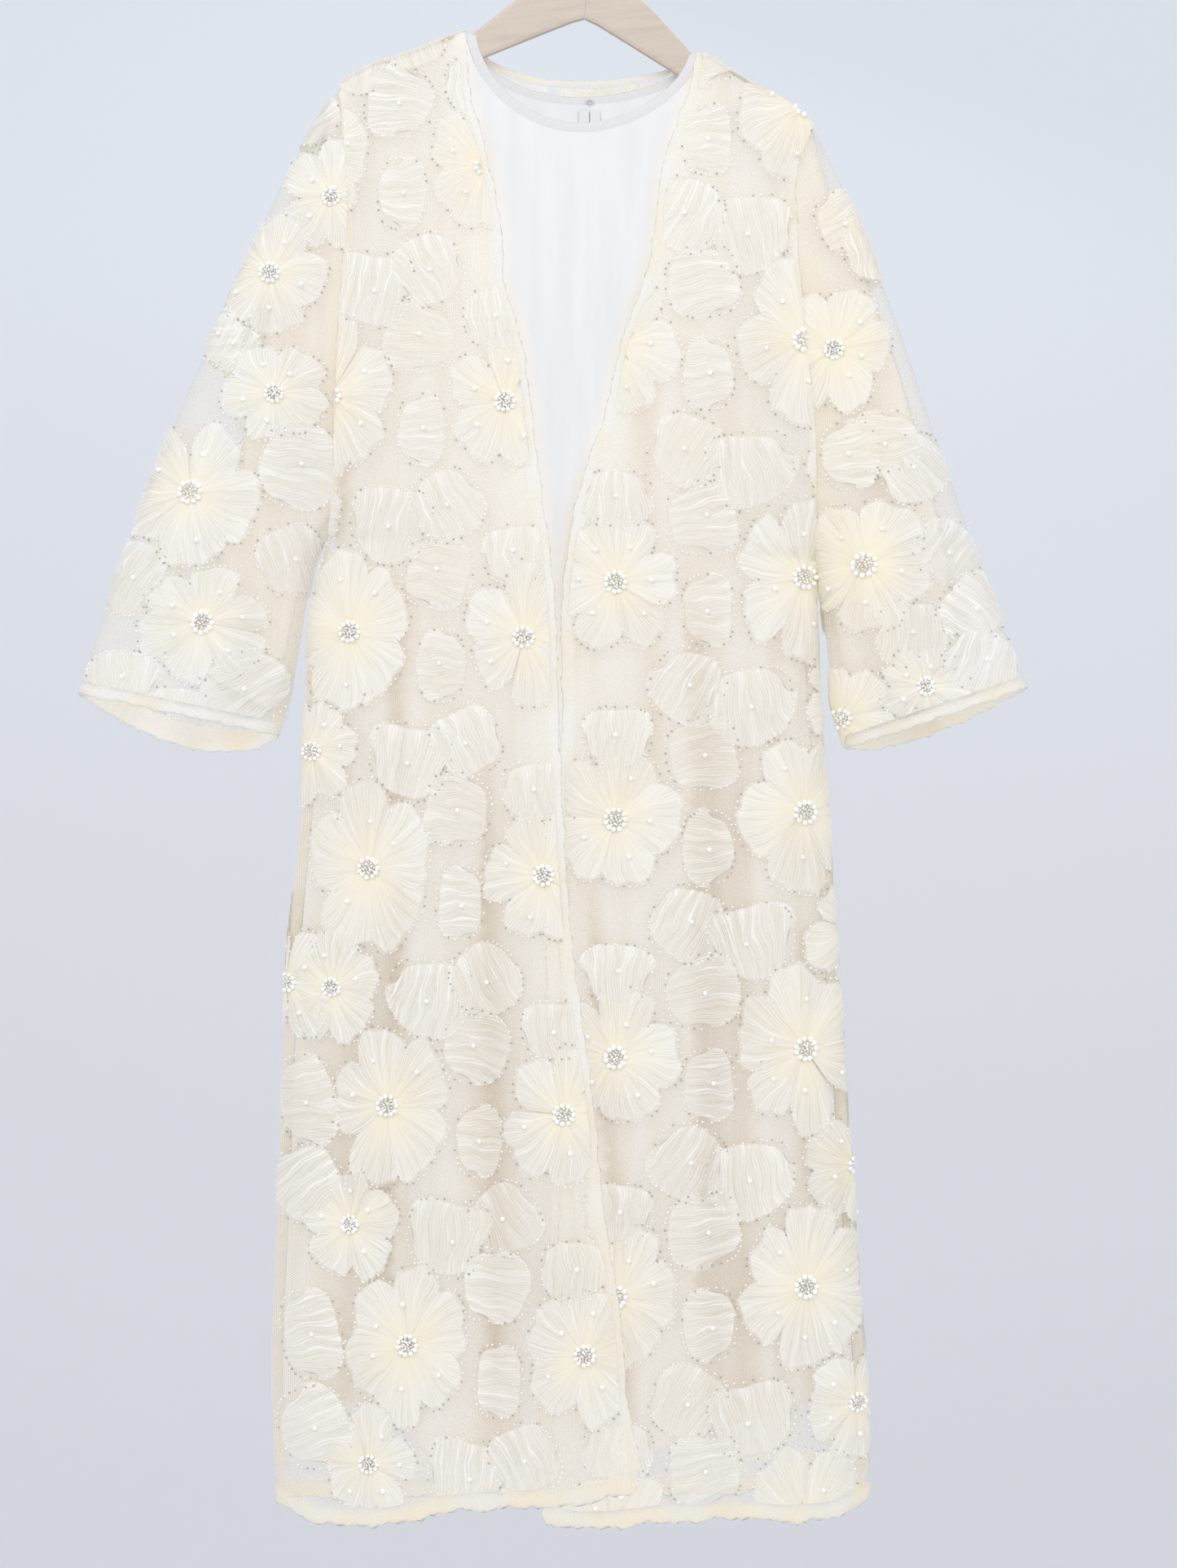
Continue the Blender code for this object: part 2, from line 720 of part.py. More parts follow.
def side_line(layer, side, top, bottom, step):
    """The armhole seam and the side below it, top to bottom, with a point at the underarm."""
    under = layer.underarm[side]
    upper = [(float(layer.edge(side, d)), d) for d in np.linspace(top, under, 30)]
    lower = [(float(layer.edge(side, d)), d) for d in np.linspace(under, bottom, 40)]
    upper, lower = spaced(upper, step, ("start", "end")), spaced(lower, step * 1.25)
    return upper[:-1] + lower, len(upper)


def seam_directions(layer, side, face, drops):
    """The wall's outward direction along an armhole, the same for the body and for the sleeve."""
    found = []
    for drop in drops:
        lower, upper = layer.seam_depth(side, drop + 4), layer.seam_depth(side, drop - 4)
        slope = float(np.clip((lower - upper) / 8, -1.2, 1.2))
        found.append(np.array([0.0, face * 1.0, slope]) / math.hypot(1.0, slope))
    return found


def body_panel(name, layer, face, edges, seams, wall, finish, lattice, motifs=(), lifted=False):
    """Builds a body wall and returns its edge points and outward directions, for the bindings."""
    place = body_surface(layer, face, lifted)
    points, faces, raised, count = sheet(edges, place, lattice, motifs, flip=face == BACK)
    outward = keep_side(normals_of(points, faces), face)
    for side, start, end in seams:
        drops = [-points[i][2] for i in range(start, end)]
        outward[start:end] = seam_directions(layer, side, face, drops)
        for i in range(start, end):
            x, _, z = points[i]
            depth = max(SEAM_GAP / 2, layer.seam_depth(side, -z))
            points[i] = (x - side * SEAM_GAP / 2, face * depth, z)
    cloth_wall(name, points, faces, outward, [wall + r for r in raised], finish)
    return np.array(points[:count]), outward[:count]


def robe_front(name, side, finish, trim):
    """One front of the robe, with its edge binding and hem binding."""
    hem = HEM_AT[("front", side)]
    column = "left" if side == LEFT else "right"
    top = shoulder_points(side)
    sides, seam_count = side_line(ROBE, side, top[-1][1], 1462 - HEM_BAND, ROBE_STEP)
    drops = np.linspace(top[0][1], 1425 if side == LEFT else 1452, 60)
    opening = []
    for drop in drops:
        x = OPENING_AT[column](drop)
        opening.append((x + side * (EDGE_BAND + SEAM_GAP), drop))
    opening[0] = top[0]
    opening = spaced(opening, 36, ("start",))[::-1]
    hem_x = opening[0][0]
    hem_points = hem_line(hem, sides[-1][0], hem_x, 42, HEM_BAND + SEAM_GAP)
    sides[-1] = hem_points[0]
    opening[0] = hem_points[-1]
    shoulder = spaced(top, 22)
    edges = [(shoulder, SHOULDER_ROWS), (sides, SIDE_ROWS), (hem_points, ()), (opening, ())]
    seams = [(side, len(shoulder) - 1, len(shoulder) - 1 + seam_count)]
    points, outward = body_panel(
        name, ROBE, FRONT, edges, seams, NET_WALL, finish, (52, 50), repeat_motifs(name[5:]), side == LEFT
    )
    first_hem = len(shoulder) + len(sides) - 2
    first_opening = first_hem + len(hem_points) - 1
    hem_range = range(first_hem, first_opening + 1)
    edge_range = [*range(first_opening, len(points)), 0]
    down = [(0, 0, -1)] * len(hem_range)
    band(name.replace("front", "hem"), points[hem_range], outward[hem_range], down, HEM_BAND, BAND_WALL, trim, FRONT)
    inward = [(-side, 0, 0)] * len(edge_range)
    band(
        name.replace("front", "front_binding"),
        points[edge_range], outward[edge_range], inward, EDGE_BAND, BAND_WALL, trim, FRONT,
    )


def robe_back(finish, trim):
    neck = neck_line(171.0, 1.0, 14)
    left_top, right_top = shoulder_points(LEFT), shoulder_points(RIGHT)
    left_shoulder, right_shoulder = spaced(left_top, 22)[::-1], spaced(right_top, 22)
    right_side, right_count = side_line(ROBE, RIGHT, right_top[-1][1], 1459 - HEM_BAND, ROBE_STEP)
    left_side, left_count = side_line(ROBE, LEFT, left_top[-1][1], 1462 - HEM_BAND, ROBE_STEP)
    hem_points = hem_line(HEM_AT[("back", 0)], right_side[-1][0], left_side[-1][0], 44, HEM_BAND + SEAM_GAP)
    right_side[-1], left_side[-1] = hem_points[0], hem_points[-1]
    neck = spaced(neck, 18, ("start", "end"))
    edges = [
        (neck, ((9, 24),)),
        (right_shoulder, SHOULDER_ROWS),
        (right_side, SIDE_ROWS),
        (hem_points, ()),
        (left_side[::-1], SIDE_ROWS),
        (left_shoulder, SHOULDER_ROWS),
    ]
    starts = np.cumsum([0] + [len(e[0]) - 1 for e in edges])
    seams = [(RIGHT, starts[2], starts[2] + right_count), (LEFT, starts[5] - left_count + 1, starts[5] + 1)]
    points, outward = body_panel(
        "robe_back", ROBE, BACK, edges, seams, NET_WALL, finish, (54, 52), repeat_motifs("back")
    )
    hem_range, neck_range = range(starts[3], starts[4] + 1), range(starts[0], starts[1] + 1)
    band(
        "robe_hem_back", points[hem_range], outward[hem_range],
        [(0, 0, -1)] * len(hem_range), HEM_BAND, BAND_WALL, trim, BACK,
    )
    inner = neck_range[1:-1]
    band(
        "robe_neck_binding", points[inner], outward[inner],
        [(0, 0, 1)] * len(inner), BACK_NECK_BAND, BAND_WALL, trim, BACK,
    )


def dress_panel(name, face, neck, finish, band_finish):
    """The front or back of the under-dress, with its neckband."""
    shift = DRESS.shoulder_step
    neck = spaced([(x, d + shift) for x, d in neck], 17, ("start", "end"))
    tops = {side: [(x, d + shift) for x, d in shoulder_points(side)] for side in (LEFT, RIGHT)}
    left_shoulder, right_shoulder = spaced(tops[LEFT], 22)[::-1], spaced(tops[RIGHT], 22)
    right_side, right_count = side_line(DRESS, RIGHT, tops[RIGHT][-1][1], 1366, DRESS_STEP)
    left_side, left_count = side_line(DRESS, LEFT, tops[LEFT][-1][1], 1372, DRESS_STEP)
    hem_points = hem_line(DRESS_HEM_AT, 236, -282, 42, 0.0)
    hem_points[0], hem_points[-1] = right_side[-1], left_side[-1]
    edges = [
        (neck, ((9, 24),)),
        (right_shoulder, SHOULDER_ROWS),
        (right_side, SIDE_ROWS),
        (hem_points, ()),
        (left_side[::-1], SIDE_ROWS),
        (left_shoulder, SHOULDER_ROWS),
    ]
    starts = np.cumsum([0] + [len(e[0]) - 1 for e in edges])
    seams = [(RIGHT, starts[2], starts[2] + right_count), (LEFT, starts[5] - left_count + 1, starts[5] + 1)]
    points, outward = body_panel(name, DRESS, face, edges, seams, SATIN_WALL, finish, (36, 84))
    rim = range(starts[0] + 1, starts[1])
    band(
        name.replace("dress", "neckband"), points[rim], outward[rim],
        [(0, 0, 1)] * len(rim), NECK_BAND, BAND_WALL, band_finish, face,
    )


def sleeve_tube(name, sleeve, wall, finish, lattice, motifs, cuff_up):
    """A sleeve's front and back walls, joined along the outer fold and the underarm seam."""
    side = sleeve.side
    halves = []
    steps = 16
    for face in (FRONT, BACK):
        step = DRESS_STEP if sleeve.layer.inner else ROBE_STEP
        seam, seam_count = side_line(sleeve.layer, side, sleeve.top, sleeve.bottom + 1, step)
        seam = seam[:seam_count]
        rim = [sleeve.rim_point(face, t, cuff_up) for t in np.linspace(0, 1, steps + 1)]
        outer = [sleeve.chart(s, 0) for s in np.linspace(0, 1, 40)]
        outer = spaced([p for p in outer if p[1] < rim[0][1] - 2] + [rim[0]], 34)
        under = [sleeve.chart(s, 1) for s in np.linspace(0, 1, 40)]
        under = spaced([p for p in under if p[1] < rim[-1][1] - 2] + [rim[-1]], 34)
        outer[0], under[0] = seam[0], seam[-1]
        rim = spaced(rim, 24)
        rim[0], rim[-1] = outer[-1], under[-1]
        edges = [(seam[::-1], ()), (outer, FOLD_ROWS_IN), (rim, ()), (under[::-1], FOLD_ROWS_IN)]
        found = sheet(edges, sleeve.place(face), lattice, motifs[face], flip=face == BACK)
        halves.append((found, edges, seam_count))
    (front, edges, seam_count), (back, _, _) = halves
    points, faces, raised, count = [list(front[0]), list(front[1]), list(front[2]), front[3]]
    where = {}
    fold = [*range(seam_count - 1, seam_count + len(edges[1][0]) - 1)]
    start_under = seam_count - 1 + len(edges[1][0]) - 1 + len(edges[2][0]) - 1
    fold += [*range(start_under, front[3]), 0]
    for i in fold:
        x, _, z = points[i]
        points[i] = (x, 0.0, z)
        where[(round(x, 3), round(z, 3))] = i
    index = []
    for i, (p, r) in enumerate(zip(back[0], back[2])):
        key = (round(p[0], 3), round(p[2], 3))
        if i < back[3] and key in where:
            index.append(where[key])
        else:
            index.append(len(points))
            points.append(p)
            raised.append(r)
    faces += [tuple(index[v] for v in face) for face in back[1]]
    outward = normals_of(points, faces)
    front_seam = range(seam_count)
    for face, members in ((FRONT, front_seam), (BACK, [index[i] for i in range(seam_count)])):
        drops = [-points[i][2] for i in members]
        for i, direction in zip(members, seam_directions(sleeve.layer, side, face, drops)):
            if abs(points[i][1]) > 0.01:
                outward[i] = direction
    for i in (0, seam_count - 1):
        outward[i] = np.array([0.0, 0.0, 1.0 if i else -1.0])
    seam_members = {*front_seam, *(index[i] for i in range(seam_count))}
    for i in seam_members:
        x, y, z = points[i]
        points[i] = (x + side * SEAM_GAP / 2, y, z)
    cloth_wall(name, points, faces, outward, [wall + r for r in raised], finish)
    rim_start = seam_count - 1 + len(edges[1][0]) - 1
    rim_count = len(edges[2][0])
    loop = [rim_start + k for k in range(rim_count)] + [index[rim_start + k] for k in range(rim_count - 2, 0, -1)]
    return np.array(points)[loop], outward[loop]


def hanger_arm(name, side, finish):
    """Half of the wooden hanger: a flat outline, extruded, with bevelled edges."""
    top = [(0, 42), (18, 39), (36, 30.5), (51, 20.5), (64, 10.5), (84, -8), (101, -24)]
    for reach in np.linspace(110, HANGER_REACH - 6, 6):
        top.append((reach, float(np.interp(reach, SHOULDER["reach"], SHOULDER["height"])) - WOOD_BELOW_SHOULDER))
    end = top[-1][1]
    tip = [(HANGER_REACH, end - 9), (HANGER_REACH + 1, end - 20), (HANGER_REACH - 8, end - 27)]
    bottom = [(170, -83), (130, -65), (90, -45.5), (45, -22.5), (12, -6), (0, -1.5)]
    outline = top + tip + bottom
    bm = bmesh.new()
    for reach, height in outline:
        x, drop = from_hanger(side * (reach + SEAM_GAP / 2), height)
        bm.verts.new((x * MM, -HANGER_THICK / 2 * MM, -drop * MM))
    front = bm.faces.new(bm.verts)
    back = bmesh.ops.extrude_face_region(bm, geom=[front], use_keep_orig=True)["geom"]
    moved = [v for v in back if isinstance(v, bmesh.types.BMVert)]
    bmesh.ops.translate(bm, verts=moved, vec=(0, HANGER_THICK * MM, 0))
    joint_end = [e for e in bm.edges if hanger_reach(e) < 1.0]
    rims = [e for e in bm.edges if e not in joint_end and abs(e.verts[0].co.y - e.verts[1].co.y) < 1e-6]
    bmesh.ops.bevel(bm, geom=rims, offset=HANGER_CHAMFER * MM, segments=2, affect="EDGES", profile=0.6)
    return finished(name, bm, finish)


def hanger_reach(edge):
    """How far an edge's middle lies from the hanger's middle plane, in millimetres."""
    middle = (edge.verts[0].co + edge.verts[1].co) / 2 / MM
    return abs(middle.x * math.cos(TILT) - middle.z * math.sin(TILT))


def hanger_hook(finish):
    """The wire hook: a stem up from the wood, then an open bend over the hang point."""
    stem_foot = 42.4
    centre_height = APEX_BELOW_HOOK + HOOK_WIRE - HOOK_RADIUS
    path = [(0, stem_foot), (0, stem_foot + 8), (0.5, stem_foot + 16)]
    start, end = math.radians(-62), math.radians(205)
    for angle in np.linspace(start, end, 20):
        path.append((HOOK_RADIUS * math.cos(angle), centre_height + HOOK_RADIUS * math.sin(angle)))
    curve = bpy.data.curves.new("hanger_hook", "CURVE")
    curve.dimensions = "3D"
    curve.bevel_depth = HOOK_WIRE * MM
    curve.bevel_resolution = 2
    curve.use_fill_caps = True
    spline = curve.splines.new("POLY")
    spline.points.add(len(path) - 1)
    for point, (reach, height) in zip(spline.points, path):
        x, drop = from_hanger(reach, height)
        point.co = (x * MM, 0, -drop * MM, 1)
    curve.materials.append(finish)
    made = bpy.data.objects.new("hanger_hook", curve)
    bpy.data.collections[COLLECTION].objects.link(made)
    return made


def skin_depth(target, x, drop, from_y, way):
    """The y in millimetres where a line along Y meets a built piece."""
    hit, place, _, _ = target.ray_cast(Vector((x, from_y, -drop)) * MM, Vector((0, way, 0)))
    assert hit, (target.name, x, drop)
    return place.y / MM


def zip_tape(name, back, x_from, x_to, finish):
    """A tape that lies on the inside of the under-dress's back."""
    points, faces = [], []
    drops = np.linspace(ZIP_TOP, ZIP_TOP + ZIP_LENGTH, 13)
    for drop in drops:
        corners = []
        for x in (x_from, x_to):
            corners.append((x, skin_depth(back, x, drop, 0, 1) - SEAM_GAP, -drop))
        points += corners + [(x, y - TAPE_THICK, z) for x, y, z in corners[::-1]]
    for i in range(len(drops) - 1):
        for k in range(4):
            m = (k + 1) % 4
            faces.append((4 * i + k, 4 * i + m, 4 * i + 4 + m, 4 * i + 4 + k))
    last = len(points)
    faces += [(0, 1, 2, 3), (last - 1, last - 2, last - 3, last - 4)]
    return mesh_object(name, points, faces, finish)


def zip_slider(back, finish):
    """The closed zip's slider and its pull, outside the under-dress's back."""
    bm = bmesh.new()
    bmesh.ops.create_circle(bm, cap_ends=True, segments=16, radius=1.0)
    top = ZIP_TOP + 1.5
    y = skin_depth(back, ZIP_X, top + PULL_LONG / 2, 60, -1) + SEAM_GAP
    y = max(y, *(skin_depth(back, ZIP_X, d, 60, -1) + SEAM_GAP for d in (top, top + PULL_LONG)))
    for v in bm.verts:
        down = (1 - v.co.y) / 2
        half_width = PULL_WIDE / 2 * (0.45 + 0.55 * down)
        v.co = Vector((ZIP_X + v.co.x * half_width, y, -(top + PULL_LONG * down))) * MM
    extruded = bmesh.ops.extrude_face_region(bm, geom=list(bm.faces), use_keep_orig=True)["geom"]
    moved = [v for v in extruded if isinstance(v, bmesh.types.BMVert)]
    bmesh.ops.translate(bm, verts=moved, vec=(0, PULL_THICK * MM, 0))
    return finished("zip_slider", bm, finish)


def hook_and_eye(neckband, finish):
    """The small wire fastener at the zip's top, inside the back neckband."""
    bm = bmesh.new()
    y = skin_depth(neckband, ZIP_X, EYE_DROP, 0, 1) - SEAM_GAP - EYE_WIRE
    rings, sides = 14, 6
    for i in range(rings):
        a = 2 * math.pi * i / rings
        for k in range(sides):
            b = 2 * math.pi * k / sides
            reach = EYE_RADIUS + EYE_WIRE * math.cos(b)
            place = (ZIP_X + 1.5 * reach * math.cos(a), y + EYE_WIRE * math.sin(b), -EYE_DROP + reach * math.sin(a))
            bm.verts.new(Vector(place) * MM)
    bm.verts.ensure_lookup_table()
    for i in range(rings):
        for k in range(sides):
            j, m = (i + 1) % rings, (k + 1) % sides
            bm.faces.new([bm.verts[n] for n in (i * sides + k, j * sides + k, j * sides + m, i * sides + m)])
    return finished("hook_and_eye", bm, finish)


for old in list(bpy.data.objects):
    bpy.data.objects.remove(old, do_unlink=True)
bpy.context.scene.collection.children.link(bpy.data.collections.new(COLLECTION))

net = material("ivory_net", (0.90, 0.84, 0.76), 0.85)
cream = material("cream_binding", (0.94, 0.87, 0.72), 0.9)
satin = material("white_satin", (0.90, 0.90, 0.91), 0.45)
stitched = material("white_neckband", (0.84, 0.84, 0.85), 0.6)
beech = material("beech_wood", (0.72, 0.53, 0.38), 0.45)
steel = material("hook_steel", (0.62, 0.62, 0.64), 0.3, 1.0)
tape = material("zip_tape", (0.86, 0.86, 0.87), 0.8)

robe_front("robe_front_left", LEFT, net, cream)
robe_front("robe_front_right", RIGHT, net, cream)
robe_back(net, cream)
dress_panel("dress_front", FRONT, neck_line(206 + NECK_BAND, 1.2, 18), satin, stitched)
dress_panel("dress_back", BACK, neck_line(178 + NECK_BAND, 1.0, 18), satin, stitched)

for side, word in ((LEFT, "left"), (RIGHT, "right")):
    robe_sleeve = Sleeve(ROBE, side)
    appliques = {face: sleeve_motifs(side, face) for face in (FRONT, BACK)}
    line, outward = sleeve_tube(
        f"robe_sleeve_{word}", robe_sleeve, NET_WALL, net, (50, 50), appliques, CUFF_BAND + SEAM_GAP
    )
    cuffward = [(side * 0.4, 0, -0.9)] * len(line)
    band(f"robe_cuff_{word}", line, outward, cuffward, CUFF_BAND, BAND_WALL, cream, closed=True)
    plain = {face: [] for face in (FRONT, BACK)}
    sleeve_tube(f"dress_sleeve_{word}", Sleeve(DRESS, side), SATIN_WALL, satin, (46, 70), plain, 0.0)

dress_back = bpy.data.objects["dress_back"]
bpy.context.view_layer.update()
zip_tape("zip_tape_left", dress_back, ZIP_X - 0.5 - TAPE_WIDE, ZIP_X - 0.5, tape)
zip_tape("zip_tape_right", dress_back, ZIP_X + 0.5, ZIP_X + 0.5 + TAPE_WIDE, tape)
zip_slider(dress_back, steel)
hook_and_eye(bpy.data.objects["neckband_back"], steel)
hanger_arm("hanger_arm_left", LEFT, beech)
hanger_arm("hanger_arm_right", RIGHT, beech)
hanger_hook(steel)
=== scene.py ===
"""The looks of an open-front net abaya with its under-dress, hanging on a wooden hanger.

Places are given in millimetres in the front view, as x and "drop", the distance down from the hang point,
so z = -drop. The front of the garment faces -Y. The body and the sleeves are flattened tubes, and each
wall's depth in y comes from the same section tables as the solids.
"""

import math
from itertools import combinations

import bpy
import numpy as np
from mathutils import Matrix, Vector
from mathutils.geometry import delaunay_2d_cdt


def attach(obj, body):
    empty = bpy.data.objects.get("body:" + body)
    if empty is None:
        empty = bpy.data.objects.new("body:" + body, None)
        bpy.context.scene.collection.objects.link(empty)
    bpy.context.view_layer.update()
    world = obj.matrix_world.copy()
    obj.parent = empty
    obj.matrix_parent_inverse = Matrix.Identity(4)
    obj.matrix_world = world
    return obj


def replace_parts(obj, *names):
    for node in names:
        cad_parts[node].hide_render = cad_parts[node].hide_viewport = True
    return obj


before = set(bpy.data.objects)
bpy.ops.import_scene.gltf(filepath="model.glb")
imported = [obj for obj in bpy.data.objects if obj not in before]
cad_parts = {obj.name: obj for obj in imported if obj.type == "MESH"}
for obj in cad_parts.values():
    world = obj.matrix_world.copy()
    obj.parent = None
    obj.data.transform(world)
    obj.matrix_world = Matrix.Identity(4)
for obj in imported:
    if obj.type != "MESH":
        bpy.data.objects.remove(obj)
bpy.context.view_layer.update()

MM = 0.001
FRONT, BACK = -1, 1
LEFT, RIGHT = -1, 1
WORD = {LEFT: "left", RIGHT: "right"}
HALF = {FRONT: "front", BACK: "back"}

# Cloth
HALF_WALL = 0.6  # from a solid's inner skin to the thin cloth in its middle
SEAM_GAP = 0.4
LAYER_GAP = 9.0
OVERLAP_LIFT = 9.5
OVERLAP_RAMP = (80.0, 52.0)
DRESS_BELOW_ROBE = 1.8
ARM_DEPTH = {"robe": 24.0, "dress": 13.5}
SHOULDER_ROUND = 14.0
SIDE_EASE = 11.0
NET_MESH = 10.0  # between the points of a net panel
SATIN_MESH = 9.0
CUFF_BAND = 12.0
HEM_BAND = 16.0
EDGE_BAND = 6.0
NECK_BAND = 9.5
NECK_OVERLAP = 2.5  # how far the satin reaches under the neckband
NECK_HALF, NECK_MIDDLE, NECK_STEPS = 101.5, -13.0, 40
ROBE_NECK = (171.0, 1.0)  # the drop of its middle, and a power that makes it squarer below 1
DRESS_NECK = {FRONT: (206.0, 1.2), BACK: (178.0, 1.0)}
ROLL_STEP = 4.0
ROLL_SIDES = 12
ROLL_OVER = 4.0  # how far a hem's or a seam's roll reaches over its cloth
EDGE_OVER = 6.5  # and a front edge's roll
EDGE_ROLL = (EDGE_BAND + EDGE_OVER + 1.0, 1.2)  # each roll's width and thickness
HEM_ROLL = (HEM_BAND + ROLL_OVER, 2.0)
CUFF_ROLL = (CUFF_BAND, 2.0)
SEAM_ROLL = (8.0, 2.0)
SHOULDER_ROLL = (13.0, 3.2)
NECK_ROLL = (7.0, 1.4)
NECKBAND_ROLL = (NECK_BAND, 1.0)
FACING = 18.0  # the folded strip beside a front edge
ARMHOLE_FOLD = {LEFT: (1.0, 7.0, 13.0), RIGHT: (1.0, 12.0, 24.0)}  # the doubled net beside each armhole; its tan tone is painted shade
ARMHOLE_FOLD_LONG = 270.0
UNDERARM_FOLD = {LEFT: 0.03, RIGHT: 0.07}  # and along the underarm seam, as a share of the way round
SLEEVE_PAINTED_SHADE = 0.18  # how much painted shade the under-dress's sleeves get, from 0 to 1
ROBE_BOTTOMS = np.array([1462.0, 1459.0])  # where the sides end at the left and the right
DRESS_BOTTOMS = np.array([1372.0, 1366.0])
LOW_SIDE = 1440.0  # how far down the doubled net at the sides goes
FRONT_EDGE_END = {LEFT: 1425.0, RIGHT: 1452.0}
ROBE_SLEEVE_MESH, DRESS_SLEEVE_MESH = (60, 96), (50, 80)  # points down and around
CUFF_POINTS = 150
TULLE_REPEAT = 1.9
STITCHES = 7  # of the neckband, for each centimetre

# Hanger
TILT = math.radians(5.0)
APEX_BELOW_HOOK = 110.0


def columns(names, *rows):
    """A table as one array for each named column. Values left out at the end of a row are 0."""
    names = names.split()
    full = [row + (0,) * (len(names) - len(row)) for row in rows]
    return dict(zip(names, np.array(full, float).T))


BODY = columns(
    "drop left right depth",
    (170, -232, 199, 14),
    (212, -228.5, 198, 20),
    (242, -226, 184.5, 23),
    (307, -225, 182, 27),
    (384, -231, 188, 30),
    (475, -235.5, 197.5, 33),
    (553, -239, 200, 35),
    (585, -243.5, 200, 36),
    (602, -250, 200, 37),
    (670, -261, 201.5, 39),
    (820, -267.5, 211, 43),
    (940, -278.5, 218.5, 46),
    (1077, -286, 228, 50),
    (1200, -290.5, 236, 54),
    (1345, -296, 246.5, 58),
    (1476, -291, 251, 61),
)
SHOULDER = columns("reach height", (107, -22.5), (158, -48.5), (188, -60.5), (216, -79))
UNDERARM = {LEFT: 585.0, RIGHT: 600.0}
DRESS_UNDERARM = {LEFT: 560.0, RIGHT: 572.0}
OPENING = columns(
    "drop left right",
    (124, -118.5, 94),
    (143, -117.5, 93),
    (182, -114.5, 85.5),
    (228, -102, 68.5),
    (272, -92.5, 58.5),
    (313, -85, 54.5),
    (352, -84, 46),
    (410, -67.5, 25),
    (473, -58.5, 10.5),
    (540, -50, -12),
    (630, -38.5, -28),
    (759, -33.5, -29),
    (939, -23, -43),
    (1102, -2, -38),
    (1196, 7.5, -31),
    (1282, 21, -41),
    (1378, 30.5, -49),
    (1445, 46, -52),
    (1476, 48, -53),
)
HEM = {
    (FRONT, LEFT): columns(
        "x drop",
        (-291, 1462), (-268, 1473), (-188, 1476), (-137, 1464), (-74, 1458), (-10, 1451), (48, 1441),
    ),
    (FRONT, RIGHT): columns(
        "x drop",
        (-54, 1471), (11, 1476), (67, 1471), (124, 1470), (182, 1475), (225, 1471), (251, 1459),
    ),
    (BACK, 0): columns(
        "x drop",
        (-291, 1462), (-230, 1473), (-150, 1475), (-60, 1470), (40, 1474), (130, 1469), (251, 1459),
    ),
}
DRESS_HEM = columns(
    "x drop",
    (-284, 1372), (-185, 1380), (-150, 1411), (-98, 1423), (20, 1414), (110, 1394), (182, 1372), (240, 1366),
)
FOLD = "side x_top drop_top x_end drop_end height width"
FOLDS = columns(
    FOLD,
    (FRONT, 80, 600, 92, 1476, 8, 20),
    (FRONT, 124, 620, 134, 1476, -7, 20),
    (FRONT, 168, 690, 178, 1300, 4, 18),
    (FRONT, -172, 620, -150, 1200, 4, 20),
    (FRONT, -100, 800, -86, 1476, -7, 24),
    (FRONT, -40, 1000, -20, 1476, 8, 26),
    (FRONT, -215, 900, -232, 1476, -7, 22),
    (FRONT, 210, 1000, 222, 1476, 6, 15),
    (BACK, -150, 560, -175, 1476, 9, 24),
    (BACK, -70, 480, -80, 1476, -8, 26),
    (BACK, 30, 640, 38, 1476, 9, 22),
    (BACK, 110, 560, 128, 1476, -8, 24),
    (BACK, -235, 900, -245, 1476, -5, 20),
    (BACK, 180, 760, 196, 1476, 7, 18),
)
# Small soft creases that only the cloth itself shows, in the same form as the folds.
DRESS_CREASES = columns(
    FOLD,
    (FRONT, -46, 240, -60, 900, 2.6, 9),
    (FRONT, -22, 230, -18, 700, -2.4, 10),
    (FRONT, 8, 226, 20, 820, 2.4, 8),
    (FRONT, 36, 260, 60, 900, -2.4, 11),
    (FRONT, 148, 560, 158, 1360, 3.2, 5),
    (FRONT, 160, 560, 170, 1360, -2.4, 7),
    (FRONT, -178, 480, -150, 1340, 2.8, 6),
    (FRONT, -190, 520, -166, 1330, -2, 8),
    (FRONT, -64, 760, -58, 1410, 2.2, 10),
    (FRONT, 46, 800, 52, 1390, 2.2, 9),
    (BACK, -110, 420, -122, 1400, 2.6, 8),
    (BACK, -20, 420, -16, 1400, -2.2, 10),
    (BACK, 70, 420, 82, 1390, 2.6, 8),
    (BACK, 150, 520, 160, 1370, 2, 7),
)
# Strips of painted shade where the under-dress falls back from the net: one side of each strip is a sharp
# fold.
PAINTED_SHADE_STRIPS = columns(
    "side x_top drop_top x_end drop_end sharp soft strength",
    (FRONT, 79, 560, 92, 1400, 3, 34, 1),
    (FRONT, -160, 560, -186, 1380, -3, -26, 0.75),
    (FRONT, -14, 860, 26, 1420, 4, 20, 0.8),
    (FRONT, 178, 840, 190, 1360, 4, 16, 0.5),
    (FRONT, -108, 700, -96, 1400, 3, 22, 0.5),
    (FRONT, -226, 300, -240, 600, 5, 14, 0.6),
    (BACK, -90, 420, -104, 1400, 3, 30, 0.8),
    (BACK, 60, 420, 76, 1390, -3, -30, 0.8),
    (BACK, 160, 520, 176, 1370, 3, 20, 0.6),
    (BACK, -200, 560, -214, 1370, -3, -22, 0.6),
)
SLEEVE_ROW = "share out_x out_drop in_x in_drop depth"
